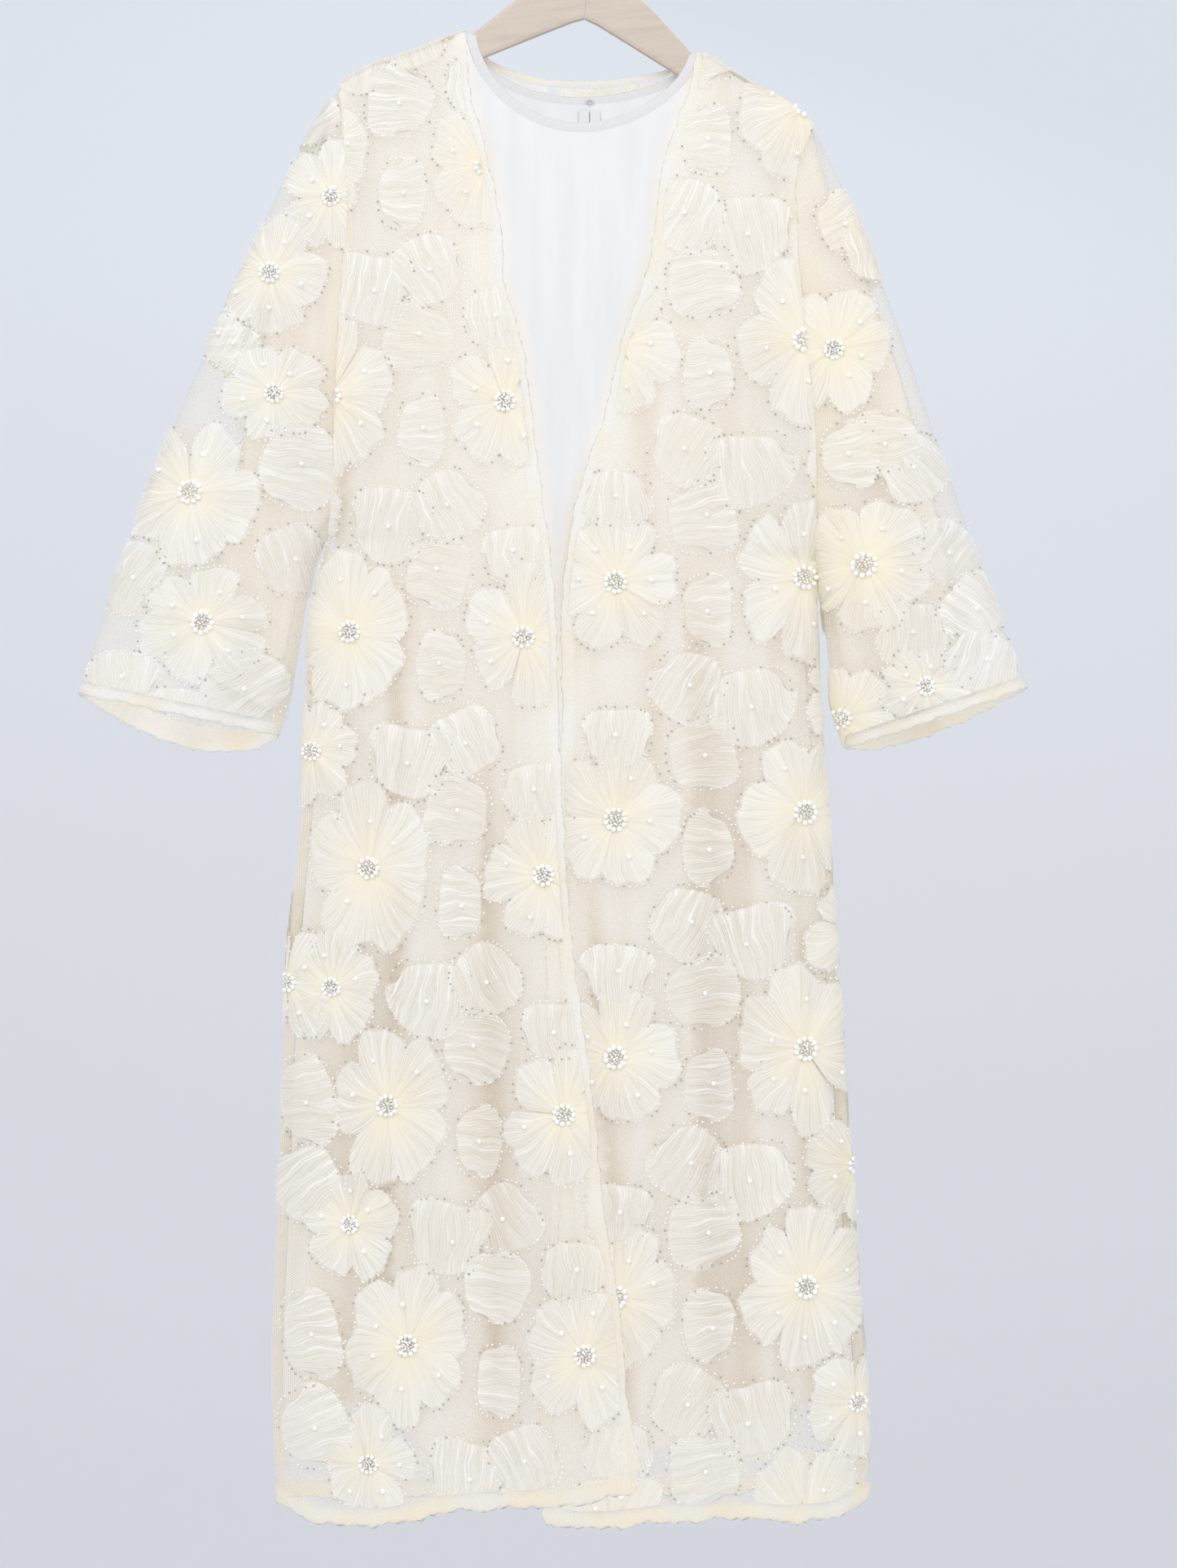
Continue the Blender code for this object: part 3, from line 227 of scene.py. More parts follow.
SLEEVE = {
    LEFT: columns(
        SLEEVE_ROW,
        (0, -232, 170.5, -243.5, 585, 24),
        (0.15, -275, 240, -256, 606, 25),
        (0.35, -334, 366, -262, 634, 27),
        (0.6, -400, 518, -268, 672, 30),
        (0.8, -438, 622, -275, 712, 32),
        (1, -472.5, 727, -289, 766, 34),
    ),
    RIGHT: columns(
        SLEEVE_ROW,
        (0, 199, 208, 200, 600, 24),
        (0.15, 229, 270, 205.5, 628, 25),
        (0.35, 268, 366, 209, 660, 27),
        (0.6, 315, 503, 213.5, 697, 31),
        (0.8, 355, 616, 218, 738, 34),
        (1, 395.5, 722, 229.5, 778, 36),
    ),
}
DRESS_SLEEVE = {
    LEFT: columns(
        SLEEVE_ROW,
        (0, -231.5, 173.5, -240, 560, 13.5),
        (0.15, -259, 247, -261, 596, 12),
        (0.35, -293, 355, -269, 630, 11),
        (0.6, -320, 492, -277, 668, 11),
        (0.8, -341, 590, -285, 706, 12),
        (1, -358, 708, -297, 742, 13),
    ),
    RIGHT: columns(
        SLEEVE_ROW,
        (0, 198.5, 211, 200, 572, 13.5),
        (0.15, 217, 276, 212, 610, 12),
        (0.35, 247, 348, 217.5, 648, 11),
        (0.6, 282, 446, 223, 684, 11),
        (0.8, 312, 558, 228, 720, 12),
        (1, 336, 690, 237, 750, 13),
    ),
}
CUFF_DIP = {LEFT: 28.0, RIGHT: 13.0}
FARTHEST_SHARE = 1.35  # down the sleeve, past its cuff at 1
SLEEVE_FOLDS = columns(
    "across height width", (0.3, 4, 0.09), (0.46, -4, 0.08), (0.66, 4, 0.08), (0.82, -3, 0.06)
)

# The net's repeat, from the middle of its large flower. wide and high are an applique's size. For a
# single petal, pleat is the lean of its gathers in degrees from upright, gathers is how many it has and
# bend is how much its ends rise.
REPEAT_HIGH = 214.0
REPEAT = columns(
    "flower across down wide high turn pleat gathers bend",
    (1, 0, 0, 108, 119),
    (1, 171, -6, 110, 140, 25),
    (1, 218, 102, 88, 94, 10),
    (0, 2, -75, 62, 52, 0, 3, 9, 3),
    (0, 65, -120, 64, 66, -10, 38, 7),
    (0, 80, -60, 66, 64, 8, 72, 5, -3),
    (0, 122, -101, 78, 68, -4, -7, 9, 9),
    (0, 84, 25, 46, 64, 0, 88, 5),
)
# Where each panel's repeats start: the x and drop of a large flower, the lean of the pattern in x for
# each millimetre of drop, which way "across" runs, and how much the panel's slant narrows it.
PANEL_REPEATS = {
    "front_left": [(-64, 678, 0.083, -1, 0.92)],
    "front_right": [(18, 628, 0.0, 1, 1.0)],
    "back": [(-180, 640, -0.05, 1, 1.0), (30, 650, 0.0, 1, 1.0)],
}
MOTIF = "flower x drop wide high turn pleat gathers bend"
SLEEVE_MOTIFS = {
    LEFT: columns(
        MOTIF,
        (1, -239, 277, 84, 96),
        (1, -295, 346, 98, 104),
        (1, -291, 456, 90, 84, 30),
        (0, -330, 412, 44, 46, 0, 30, 6),
        (0, -268, 522, 70, 76, 0, -78, 7),
        (0, -276, 606, 58, 64, 20, -35, 8),
        (1, -366, 546, 120, 132, 10),
        (0, -420, 622, 50, 72, 26, 6, 6),
        (1, -355, 664, 114, 98, 40),
        (0, -428, 716, 66, 52, 0, 0, 8),
        (0, -318, 724, 84, 56, 0, 62, 7),
        (0, -380, 742, 60, 40, 0, 0, 6),
        (0, -340, 404, 40, 50, 0, 80, 5),
        (0, -262, 200, 60, 50, 20, 20, 7),
    ),
    RIGHT: columns(
        MOTIF,
        (1, 216, 416, 96, 104),
        (0, 250, 320, 50, 66, -20, 12, 7),
        (0, 226, 300, 44, 60, 0, 60, 6),
        (0, 262, 500, 66, 50, 20, 62, 5),
        (0, 290, 524, 66, 56, -10, -30, 7),
        (0, 320, 600, 62, 54, 10, 30, 7),
        (0, 342, 652, 64, 58, -20, -30, 7),
        (1, 244, 612, 112, 116, 20),
        (0, 286, 674, 62, 60, -20, 20, 7),
        (1, 298, 722, 76, 66),
        (1, 226, 750, 92, 88, 30),
        (0, 352, 700, 70, 56, 10, 10, 8),
        (0, 232, 512, 50, 60, 0, 80, 5),
    ),
}
SIDE_MOTIFS = columns(
    MOTIF,
    (1, -279, 991, 84, 100),
    (0, -260, 1097, 50, 82, 0, 80, 6),
    (0, -262, 1172, 54, 76, 10, 40, 6),
    (0, -256, 1308, 54, 79, 0, 80, 6),
    (0, -253, 1392, 62, 73, 0, 70, 6),
)
# Where the panels' side motifs go, moved by an x, a drop and a turn.
SIDE_MOVES = {"front_left": [(0, 0, 0)], "back": [(8, -30, 35), (34, -458, 15)]}
FRONT_PAINTED_SHADE = 0.22  # painted shade: how much warmer the petals of the fronts are, from 0 to 1
FLOWER_PETALS = 5
GRID_ACROSS, FAN_ALONG, PETAL_ALONG = 33, 9, 13  # points of one petal's grid
BEAD_STEP = 5.6
BEAD_SIZE, PEARL_SIZE, CRYSTAL_SIZE = 1.1, 2.45, 1.4  # radii
RING_PEARLS, PEARL_RING = 11, 8.9  # round each flower's centre
HEAP_CRYSTALS, HEAP_REACH = 19, 6.6  # in it
BEAD_HEIGHT, RING_HEIGHT, HEAP_HEIGHT, LOOSE_PEARL_HEIGHT = 2.4, 4.4, 4.6, 5.2  # of the middles, over the net
# Where each kind of piece starts its random numbers.
SEEDS = {
    "front": 3, "edge": 11, "hem": 15, "back": 21, "neck": 31, "back_hem": 33, "sleeve": 41, "cuff": 51,
    "armhole": 61, "shoulder": 71, "neckband": 1,
}


def smooth(knots, values):
    """A function that runs smoothly through the values at the knots and stays level past both ends."""
    slopes = np.gradient(values, knots)
    at = np.unique(np.concatenate([np.linspace(a, b, 13) for a, b in zip(knots, knots[1:])]))
    i = np.clip(np.searchsorted(knots, at) - 1, 0, len(knots) - 2)
    step = knots[i + 1] - knots[i]
    t = (at - knots[i]) / step
    fine = (
        (2 * t**3 - 3 * t**2 + 1) * values[i]
        + (t**3 - 2 * t**2 + t) * step * slopes[i]
        + (3 * t**2 - 2 * t**3) * values[i + 1]
        + (t**3 - t**2) * step * slopes[i + 1]
    )
    return lambda x: np.interp(x, at, fine)


def curves(table, key):
    """Each column of a table as a smooth function of its key column."""
    return {name: smooth(table[key], values) for name, values in table.items() if name != key}


def ease(value):
    """0 to 1 with soft ends."""
    value = np.clip(value, 0, 1)
    return value * value * (3 - 2 * value)


def rows_of(table):
    return list(zip(*table.values()))


def from_hanger(reach, height):
    """A point of the hanger's own frame as (x, drop)."""
    x = reach * math.cos(TILT) + (height - APEX_BELOW_HOOK) * math.sin(TILT)
    z = -reach * math.sin(TILT) + (height - APEX_BELOW_HOOK) * math.cos(TILT)
    return x, -z


def shoulder_points(side):
    """The shoulder line from the neck to the armhole."""
    return [from_hanger(side * r, h) for r, h in zip(SHOULDER["reach"], SHOULDER["height"])]


SHOULDER_LINE = np.array(sorted(shoulder_points(LEFT) + shoulder_points(RIGHT)))
BODY_AT = curves(BODY, "drop")
OPENING_AT = curves(OPENING, "drop")
HEM_AT = {key: smooth(table["x"], table["drop"]) for key, table in HEM.items()}
DRESS_HEM_AT = smooth(DRESS_HEM["x"], DRESS_HEM["drop"])


def shoulder_drop(x):
    return np.interp(x, SHOULDER_LINE[:, 0], SHOULDER_LINE[:, 1])


def closing(below):
    """How open the tube is that far below the shoulder line, from 0 to 1."""
    return np.sqrt(np.clip(below / SHOULDER_ROUND, 0, 1))


def fold_heights(table, face, x, drop):
    """The folds' ridges and troughs at (x, drop) on one side of the garment."""
    total = np.zeros_like(x)
    for side, x_top, drop_top, x_end, drop_end, height, width in rows_of(table):
        if side == face:
            t = (drop - drop_top) / (drop_end - drop_top)
            at = x_top + (x_end - x_top) * t
            ends = ease(t * 3) * ease((1.12 - t) * 6)
            total += height * ends * np.exp(-(((x - at) / width) ** 2))
    return total


class Layer:
    """The body tube of the robe or of the under-dress."""

    def __init__(self, inner):
        self.inner = inner
        self.underarm = DRESS_UNDERARM if inner else UNDERARM
        self.shoulder_step = DRESS_BELOW_ROBE if inner else 0.0
        self.arm_depth = ARM_DEPTH["dress" if inner else "robe"]

    def edge(self, side, drop):
        """Where the front and back walls meet the sleeve, or each other below the underarm."""
        robe = BODY_AT[WORD[side]](drop)
        inset = SIDE_EASE * ease((drop - self.underarm[side] + 20) / 60) if self.inner else 0.0
        return robe - side * inset

    def seam_top(self, side):
        return shoulder_points(side)[-1][1] + self.shoulder_step

    def seam_depth(self, side, drop):
        """The armhole's depth, which is 0 at its top."""
        return self.arm_opening(side, drop) * closing(drop - self.seam_top(side))

    def arm_opening(self, side, drop):
        top = self.seam_top(side)
        t = np.clip((drop - top) / (self.underarm[side] - top), 0.15, 1)
        return self.arm_depth * (4 * t * (1 - t)) ** 0.4

    def depth(self, face, x, drop):
        """How far the wall stands from the middle plane at (x, drop)."""
        left, right = self.edge(LEFT, drop), self.edge(RIGHT, drop)
        q = np.clip((2 * x - left - right) / (right - left), -1, 1)
        middle = BODY_AT["depth"](drop)
        if self.inner:
            middle = middle - np.minimum(LAYER_GAP, 0.38 * middle)
        arm = np.where(q < 0, self.arm_opening(LEFT, drop), self.arm_opening(RIGHT, drop))
        close = closing(drop - shoulder_drop(x) - self.shoulder_step)
        round_off = (1 - np.abs(q) ** 2.6) ** (0.75 if self.inner else 0.6)
        folds = fold_heights(FOLDS, face, x, drop)
        if self.inner:
            folds += fold_heights(DRESS_CREASES, face, x, drop)
        return (arm + (middle - arm) * round_off) * close + folds * (1 - np.abs(q) ** 6)


ROBE, DRESS = Layer(False), Layer(True)


def painted_net_shade_share(x, drop, face):
    """Painted shade from the net on the under-dress: 1 where the net hangs over it, 0 in the robe's open
    front, less at the back near the neck.
    """
    if face == BACK:
        return ease((drop - 215) / 70)
    gap = np.minimum(x - OPENING_AT["left"](drop), OPENING_AT["right"](drop) - x)
    return 1 - ease((gap - 2) / 9)


def painted_fold_shade_share(x, drop, face):
    """How much painted shade a place of the under-dress gets in its folds and along its strips, from 0 to 1.
    """
    folds = fold_heights(FOLDS, face, x, drop) + 2 * fold_heights(DRESS_CREASES, face, x, drop)
    share = 0.06 - folds / 16
    for side, x_top, drop_top, x_end, drop_end, sharp, soft, strength in rows_of(PAINTED_SHADE_STRIPS):
        if side == face:
            t = (drop - drop_top) / (drop_end - drop_top)
            off = (x - x_top - (x_end - x_top) * t) / sharp
            ends = ease(t * 4) * ease((1.05 - t) * 5)
            share += strength * ends * ease(off) * ease(1.2 - off * sharp / soft)
    return np.clip(share, 0, 1)


def body_surface(layer, face, lifted=False):
    """Maps arrays of x and drop to points on one wall of the body."""

    def place(x, drop):
        depth = layer.depth(face, x, drop)
        if lifted:
            depth += OVERLAP_LIFT * ease((x - OPENING_AT["right"](drop) + OVERLAP_RAMP[0]) / OVERLAP_RAMP[1])
        y = face * (SEAM_GAP / 2 + HALF_WALL + np.maximum(0, depth))
        return np.stack([x, y, -drop], axis=-1)

    return place


class Sleeve:
    """A sleeve as a flattened tube between its outer fold and its underarm seam."""

    def __init__(self, layer, side):
        self.layer, self.side = layer, side
        self.row = curves((DRESS_SLEEVE if layer.inner else SLEEVE)[side], "share")
        self.top, self.bottom = layer.seam_top(side), layer.underarm[side]

    def beyond(self, which, share):
        """A point of an edge, carried on in a straight line past the cuff."""
        x_at, drop_at = self.row[which + "_x"], self.row[which + "_drop"]
        past = np.maximum(0, share - 1) / 0.1
        x = x_at(share) + (x_at(1) - x_at(0.9)) * past
        return x, drop_at(share) + (drop_at(1) - drop_at(0.9)) * past

    def to_seam(self, share, across):
        """How far in x the seam's own curve moves a point near it."""
        straight = self.row["out_x"](0) * (1 - across) + self.row["in_x"](0) * across
        seam = self.layer.edge(self.side, self.top + (self.bottom - self.top) * across)
        return (seam - straight) * np.maximum(0, 1 - share / 0.3) ** 2

    def chart(self, share, across):
        """(x, drop) of a point; across is 0 on the outer fold and 1 on the underarm seam."""
        out_x, out_drop = self.beyond("out", share)
        in_x, in_drop = self.beyond("in", share)
        x = out_x * (1 - across) + in_x * across + self.to_seam(share, across)
        return x, out_drop * (1 - across) + in_drop * across

    def locate(self, x, drop):
        """(share, across) of points of the front view."""
        shift = np.zeros_like(x)
        for _ in range(5):
            low, high = np.zeros_like(x), np.full_like(x, FARTHEST_SHARE)
            for _ in range(20):
                middle = (low + high) / 2
                ox, od = self.beyond("out", middle)
                ix, idrop = self.beyond("in", middle)
                turn = (ix - ox) * (drop - od) - (idrop - od) * (x - shift - ox)
                short = turn * self.side < 0
                low, high = np.where(short, middle, low), np.where(short, high, middle)
            span = (ix - ox) ** 2 + (idrop - od) ** 2
            across = ((x - shift - ox) * (ix - ox) + (drop - od) * (idrop - od)) / span
            across = np.clip(across, 0, 1)
            shift = self.to_seam(middle, across)
        return middle, across

    def depth(self, share, across):
        arch = np.sqrt(np.maximum(0, 4 * across * (1 - across)))
        seam = self.layer.seam_depth(self.side, self.top + (self.bottom - self.top) * across)
        free = self.row["depth"](share) * arch
        folds = 0.0
        if not self.layer.inner:
            for at, height, width in rows_of(SLEEVE_FOLDS):
                folds = folds + height * np.exp(-(((across - at) / width) ** 2))
        return seam + (free - seam) * ease(share / 0.35) + folds * ease((share - 0.25) / 0.5) * arch

    def surface(self, face):
        def place(x, drop):
            share, across = self.locate(x, drop)
            y = face * (self.depth(share, across) + HALF_WALL)
            return np.stack([x, y, -drop], axis=-1)

        return place

    def dip(self, across):
        """How much lower the cuff's rim hangs at the back."""
        dip = CUFF_DIP[self.side] * np.maximum(0, 4 * across * (1 - across)) ** 0.8 * (0.7 + 0.6 * across)
        return dip * (0.4 if self.layer.inner else 1.0)

    def tube(self, share, around, past=0.0):
        """Points of the tube; around runs 0 to 1 from the outer fold over the front to the seam and back."""
        across = 1 - np.abs(1 - 2 * around)
        face = np.where(around <= 0.5, FRONT, BACK)
        x, drop = self.chart(share, across)
        x1, d1 = self.chart(np.ones_like(share), across)
        x0, d0 = self.chart(np.full_like(share, 0.9), across)
        length = np.hypot(x1 - x0, d1 - d0)
        dip = np.where(face == BACK, self.dip(across), 0.0)
        step = (dip + past) * ease((share - 0.6) / 0.4)
        x, drop = x + (x1 - x0) / length * step, drop + (d1 - d0) / length * step
        y = face * (self.depth(share, across) + HALF_WALL * np.minimum(1, 8 * across * (1 - across)))
        return np.stack([x, y, -drop], axis=-1)


def unit(vectors):
    return vectors / np.linalg.norm(vectors, axis=-1, keepdims=True)


def normals(place, x, drop, face):
    """Outward directions of a surface by small steps along it."""
    step = 1.2
    along_x = place(x + step, drop) - place(x - step, drop)
    along_z = place(x, drop - step) - place(x, drop + step)
    found = np.cross(along_x, along_z)
    found *= np.sign(found[..., 1:2]) * face
    found[..., 1] = face * np.maximum(np.abs(found[..., 1]), 0.25 * np.linalg.norm(found, axis=-1))
    return unit(found)


def lengths_along(line):
    return np.concatenate([[0], np.cumsum(np.linalg.norm(np.diff(line, axis=0), axis=1))])


def spaced(points, step):
    """The points of a line again, about step apart, ends kept."""
    p = np.array(points, float)
    along = lengths_along(p)
    at = np.linspace(0, along[-1], max(2, int(math.ceil(along[-1] / step)) + 1))
    return np.stack([np.interp(at, along, p[:, k]) for k in range(p.shape[1])], axis=1)


def inside(points, outline):
    x, y = points[:, 0], points[:, 1]
    hit = np.zeros(len(points), bool)
    for (x0, y0), (x1, y1) in zip(outline, np.roll(outline, -1, axis=0)):
        if y0 != y1:
            hit ^= ((y0 > y) != (y1 > y)) & (x < (x1 - x0) * (y - y0) / (y1 - y0) + x0)
    return hit


def nearest_on(points, outline):
    """The nearest place of an outline to each point, and how far away it is."""
    found, nearest = points.copy(), np.full(len(points), 1e9)
    for a, b in zip(outline, np.roll(outline, -1, axis=0)):
        d = b - a
        t = np.clip(((points - a) @ d) / max(d @ d, 1e-9), 0, 1)
        at = a + t[:, None] * d
        away = np.linalg.norm(points - at, axis=1)
        closer = away < nearest
        found[closer], nearest[closer] = at[closer], away[closer]
    return found, nearest


def drawn_in(points, outline):
    """The points, with each one outside the outline moved to the nearest place on it."""
    kept = inside(points, outline)
    moved = points.copy()
    moved[~kept] = nearest_on(points[~kept], outline)[0]
    return moved, kept


# Outlines of the panels in the front view, as (x, drop)


def neck_line(drop_middle, power):
    """The curve from the left neck point down to the middle and up to the right neck point."""
    left, right = shoulder_points(LEFT)[0], shoulder_points(RIGHT)[0]
    angle = np.pi * np.arange(NECK_STEPS + 1) / NECK_STEPS
    side = (1 + np.cos(angle)) / 2
    x = NECK_MIDDLE - NECK_HALF * np.cos(angle)
    top = left[1] * side + right[1] * (1 - side)
    left_off, right_off = left[0] - (NECK_MIDDLE - NECK_HALF), right[0] - (NECK_MIDDLE + NECK_HALF)
    x += left_off * side**4 + right_off * (1 - side) ** 4
    return np.stack([x, top + (drop_middle - top) * np.sin(angle) ** power], axis=1)


def side_line(layer, side, bottom):
    """The armhole seam and the side below it, top to bottom."""
    drops = np.linspace(layer.seam_top(side), bottom, 90)
    return np.stack([layer.edge(side, drops), drops], axis=1)


def hem_line(hem_at, x_from, x_to, raise_by):
    x = np.linspace(x_from, x_to, 60)
    return np.stack([x, hem_at(x) - raise_by], axis=1)


def front_edge(side):
    """The rolled edge of one front, top to bottom."""
    drops = np.linspace(shoulder_points(side)[0][1], FRONT_EDGE_END[side], 120)
    x = OPENING_AT[WORD[side]](drops) + side * EDGE_BAND
    return np.stack([x, drops], axis=1)


def closed_outline(*lines):
    return np.concatenate([np.asarray(line)[:-1] for line in lines])


def robe_front_outline(side):
    top = np.array(shoulder_points(side))
    edge = front_edge(side)
    edge[0] = top[0]
    sides = side_line(ROBE, side, ROBE_BOTTOMS[0] - HEM_BAND)
    hem = hem_line(HEM_AT[(FRONT, side)], sides[-1, 0], edge[-1, 0], HEM_BAND)
    sides[-1], edge[-1] = hem[0], hem[-1]
    return closed_outline(top, sides, hem, edge[::-1])


def whole_outline(layer, neck, hem_at, hem_up, bottoms):
    """The outline of a panel that runs from side to side."""
    shift = np.array([0.0, layer.shoulder_step])
    left_top, right_top = (np.array(shoulder_points(side)) + shift for side in (LEFT, RIGHT))
    left, right = side_line(layer, LEFT, bottoms[0]), side_line(layer, RIGHT, bottoms[1])
    hem = hem_line(hem_at, right[-1, 0], left[-1, 0], hem_up)
    right[-1], left[-1] = hem[0], hem[-1]
    return closed_outline(neck + shift, right_top, right, hem, left[::-1], left_top[::-1])


# Materials


class Finish:
    """A material's node tree, with short ways to add nodes."""

    def __init__(self, name, colour, roughness, metallic=0.0, coat=0.0, sheen=0.0, glow=0.0):
        self.material = bpy.data.materials.new(name)
        self.material.use_nodes = True
        self.tree = self.material.node_tree
        self.shader = self.tree.nodes["Principled BSDF"]
        constants = {
            "Base Color": (*colour, 1), "Roughness": roughness, "Metallic": metallic,
            "Coat Weight": coat, "Sheen Weight": sheen, "Emission Strength": glow,
        }
        for socket, value in constants.items():
            self.shader.inputs[socket].default_value = value

    def node(self, kind, values, **settings):
        made = self.tree.nodes.new("ShaderNode" + kind)
        for key, value in settings.items():
            setattr(made, key, value)
        for key, value in values.items():
            if isinstance(value, bpy.types.NodeSocket):
                self.tree.links.new(value, made.inputs[key])
            else:
                made.inputs[key].default_value = value
        return made

    def out(self, kind, values, output=0, **settings):
        return self.node(kind, values, **settings).outputs[output]

    def math(self, operation, a, b=0.0, c=0.0):
        return self.out("Math", {0: a, 1: b, 2: c}, operation=operation)

    def scaled(self, value, by, plus):
        return self.math("MULTIPLY_ADD", value, by, plus)

    def spread(self, value, *limits):
        """A value stretched from one range to another: from low, from high, to low, to high."""
        return self.out("MapRange", {"Value": value, **dict(enumerate(limits, 1))})

    def ramp(self, share, stops):
        made = self.node("ValToRGB", {"Fac": share})
        elements = made.color_ramp.elements
        while len(elements) < len(stops):
            elements.new(0.5)
        for element, (at, colour) in zip(elements, stops):
            element.position = at
            element.color = (*colour, 1)
        return made.outputs["Color"]

    def noise(self, vector, scale, detail=2.0, rough=0.5):
        values = {"Vector": vector, "Scale": scale, "Detail": detail, "Roughness": rough}
        return self.out("TexNoise", values, "Fac")

    def grain(self, vector, stretch, detail=2.0, rough=0.5):
        """A noise with its own scale along each axis."""
        return self.noise(self.out("Mapping", {"Vector": vector, "Scale": stretch}), 1.0, detail, rough)

    def contour(self, value, width):
        """Thin lines where a noise crosses its middle."""
        return self.spread(self.math("ABSOLUTE", self.math("SUBTRACT", value, 0.5)), 0.0, width, 1.0, 0.0)

    def value(self, name):
        """A number that the mesh keeps at its points."""
        return self.out("Attribute", {}, "Fac", attribute_name=name)

    def axis(self, vector, name):
        return self.out("SeparateXYZ", {0: vector}, name)

    def object_place(self):
        return self.out("TexCoord", {}, "Object")

    def cloth_place(self):
        return self.out("UVMap", {}, "UV", uv_map="cloth")

    def link(self, socket, name):
        self.tree.links.new(socket, self.shader.inputs[name])

    def mix(self, share, one, other):
        """The base colour, mixed from two."""
        self.link(self.out("Mix", {0: share, 6: one, 7: other}, 2, data_type="RGBA"), "Base Color")

    def bump(self, height, strength, distance):
        """Fine relief; distance is in millimetres."""
        values = {"Height": height, "Strength": strength, "Distance": distance * MM}
        self.link(self.out("Bump", values), "Normal")


def net_finish(name, colour, thin, dense):
    """Fine hexagonal tulle, seen through between its threads."""
    f = Finish(name, colour, 0.85, sheen=0.2)
    place = f.object_place()
    k = 2 * math.pi / (TULLE_REPEAT * MM)
    total = None
    for degrees in (0, 60, 120):
        a = math.radians(degrees)
        direction = (math.cos(a) * k, 0, math.sin(a) * k)
        phase = f.out("VectorMath", {0: place, 1: direction}, "Value", operation="DOT_PRODUCT")
        wave = f.math("COSINE", phase)
        total = wave if total is None else f.math("ADD", total, wave)
    thread = f.spread(total, 0.4, -1.0, thin, dense)
    f.link(f.scaled(f.noise(place, 18), 0.10, f.math("SUBTRACT", thread, 0.05)), "Alpha")
    return f.material


def petal_finish():
    """Gathered tulle: fine bright threads along the gathers over thin, half see-through cloth."""
    f = Finish("gathered_tulle", (0.95, 0.92, 0.85), 0.8, sheen=0.15)
    uv = f.cloth_place()
    ridge, warm, rim, body, shade = (f.value(name) for name in ("ridge", "warm", "rim", "body", "shade"))
    drift = f.scaled(f.grain(uv, (0.7, 0.3, 1), 1), 0.9, -0.45)
    bent = f.out("VectorMath", {0: uv, 1: f.out("CombineXYZ", {"X": drift})}, operation="ADD")
    folded, fine, hair = (
        f.contour(f.grain(bent, (across, along, 1), 1), width)
        for across, along, width in ((2.3, 0.05, 0.034), (5.5, 0.09, 0.075), (10.0, 0.16, 0.12))
    )
    cloud = f.grain(bent, (1.3, 0.14, 1))
    threads = f.math("MAXIMUM", f.math("MULTIPLY", fine, 0.6), f.math("MULTIPLY", hair, 0.35))
    threads = f.math("MAXIMUM", folded, threads)
    threads = f.math("MAXIMUM", threads, f.math("MULTIPLY", f.spread(rim, 0.8, 0.97, 0.0, 1.0), 0.3))
    tone = f.scaled(threads, 0.6, f.scaled(ridge, 0.12, f.math("MULTIPLY", cloud, 0.6)))
    pale = f.ramp(tone, [(0.2, (0.835, 0.80, 0.73)), (0.5, (0.90, 0.875, 0.83)), (0.95, (0.98, 0.97, 0.945))])
    # Warmer towards each flower's centre and with each panel's painted shade.
    f.mix(f.scaled(shade, 0.12, f.math("MULTIPLY", warm, 0.75)), pale, (0.965, 0.885, 0.69, 1))
    thick = f.scaled(cloud, 0.6, f.math("SUBTRACT", body, 0.3))
    thick = f.scaled(threads, 0.5, f.scaled(warm, 0.4, thick))
    edge = f.scaled(f.grain(uv, (3, 1, 1), 1), 0.05, f.math("SUBTRACT", rim, 0.025))
    fade = f.spread(edge, 0.93, 1.0, 1.0, 0.0)
    f.link(f.math("MULTIPLY", f.out("Clamp", {"Value": thick}), fade), "Alpha")
    f.bump(threads, 0.2, 0.3)
    return f.material


def fluffy_finish(name, colour, deep, solid):
    """Soft, overlocked edge cloth with warmer stretches, more of them lower down.

    A roll fades out along the side where it lies on its cloth; its second coordinate is the turn.
    """
    f = Finish(name, colour, 0.9, sheen=0.25)
    place = f.object_place()
    tuft = f.noise(place, 600, 3, 0.7)
    low = f.spread(f.axis(place, "Z"), -0.75, -1.3, 0.0, 0.11)
    patch = f.math("ADD", f.noise(place, 21), low)
    f.mix(f.spread(f.scaled(tuft, 0.2, patch), 0.52, 0.74, 0.0, 1.0), (*colour, 1), (*deep, 1))
    outer = f.scaled(tuft, 0.6, f.math("COSINE", f.axis(f.cloth_place(), "Y")))
    there = f.spread(outer, -0.7, 0.45, 0.0, 1.0)
    f.link(f.math("MULTIPLY", there, f.scaled(tuft, 0.5, solid - 0.25)), "Alpha")
    f.bump(tuft, 0.4, 0.6)
    return f.material


def satin_finish():
    """Matte white satin with a fine weave, with painted shade, warmer and darker, where the net hangs over it
    and in its folds.
    """
    f = Finish("matte_satin", (0.89, 0.893, 0.9), 0.5, sheen=0.15)
    place = f.object_place()
    weave = f.grain(place, (2600, 2600, 700))
    plain = f.ramp(f.grain(place, (60, 60, 6)), [(0.3, (0.835, 0.837, 0.842)), (0.7, (0.89, 0.89, 0.888))])
    # Painted shade, varied in broad streaks: warmer and darker under the net and in the folds.
    streak = f.grain(place, (55, 55, 5))
    depth = f.scaled(f.math("SUBTRACT", streak, 0.5), 0.7, f.value("painted_fold_shade"))
    tones = [(0.0, (0.937, 0.902, 0.848)), (0.3, (0.872, 0.803, 0.705)), (1.0, (0.665, 0.555, 0.42))]
    f.mix(f.value("painted_net_shade"), plain, f.ramp(depth, tones))
    f.link(f.scaled(weave, 0.15, 0.42), "Roughness")
    f.bump(weave, 0.12, 0.2)
    return f.material


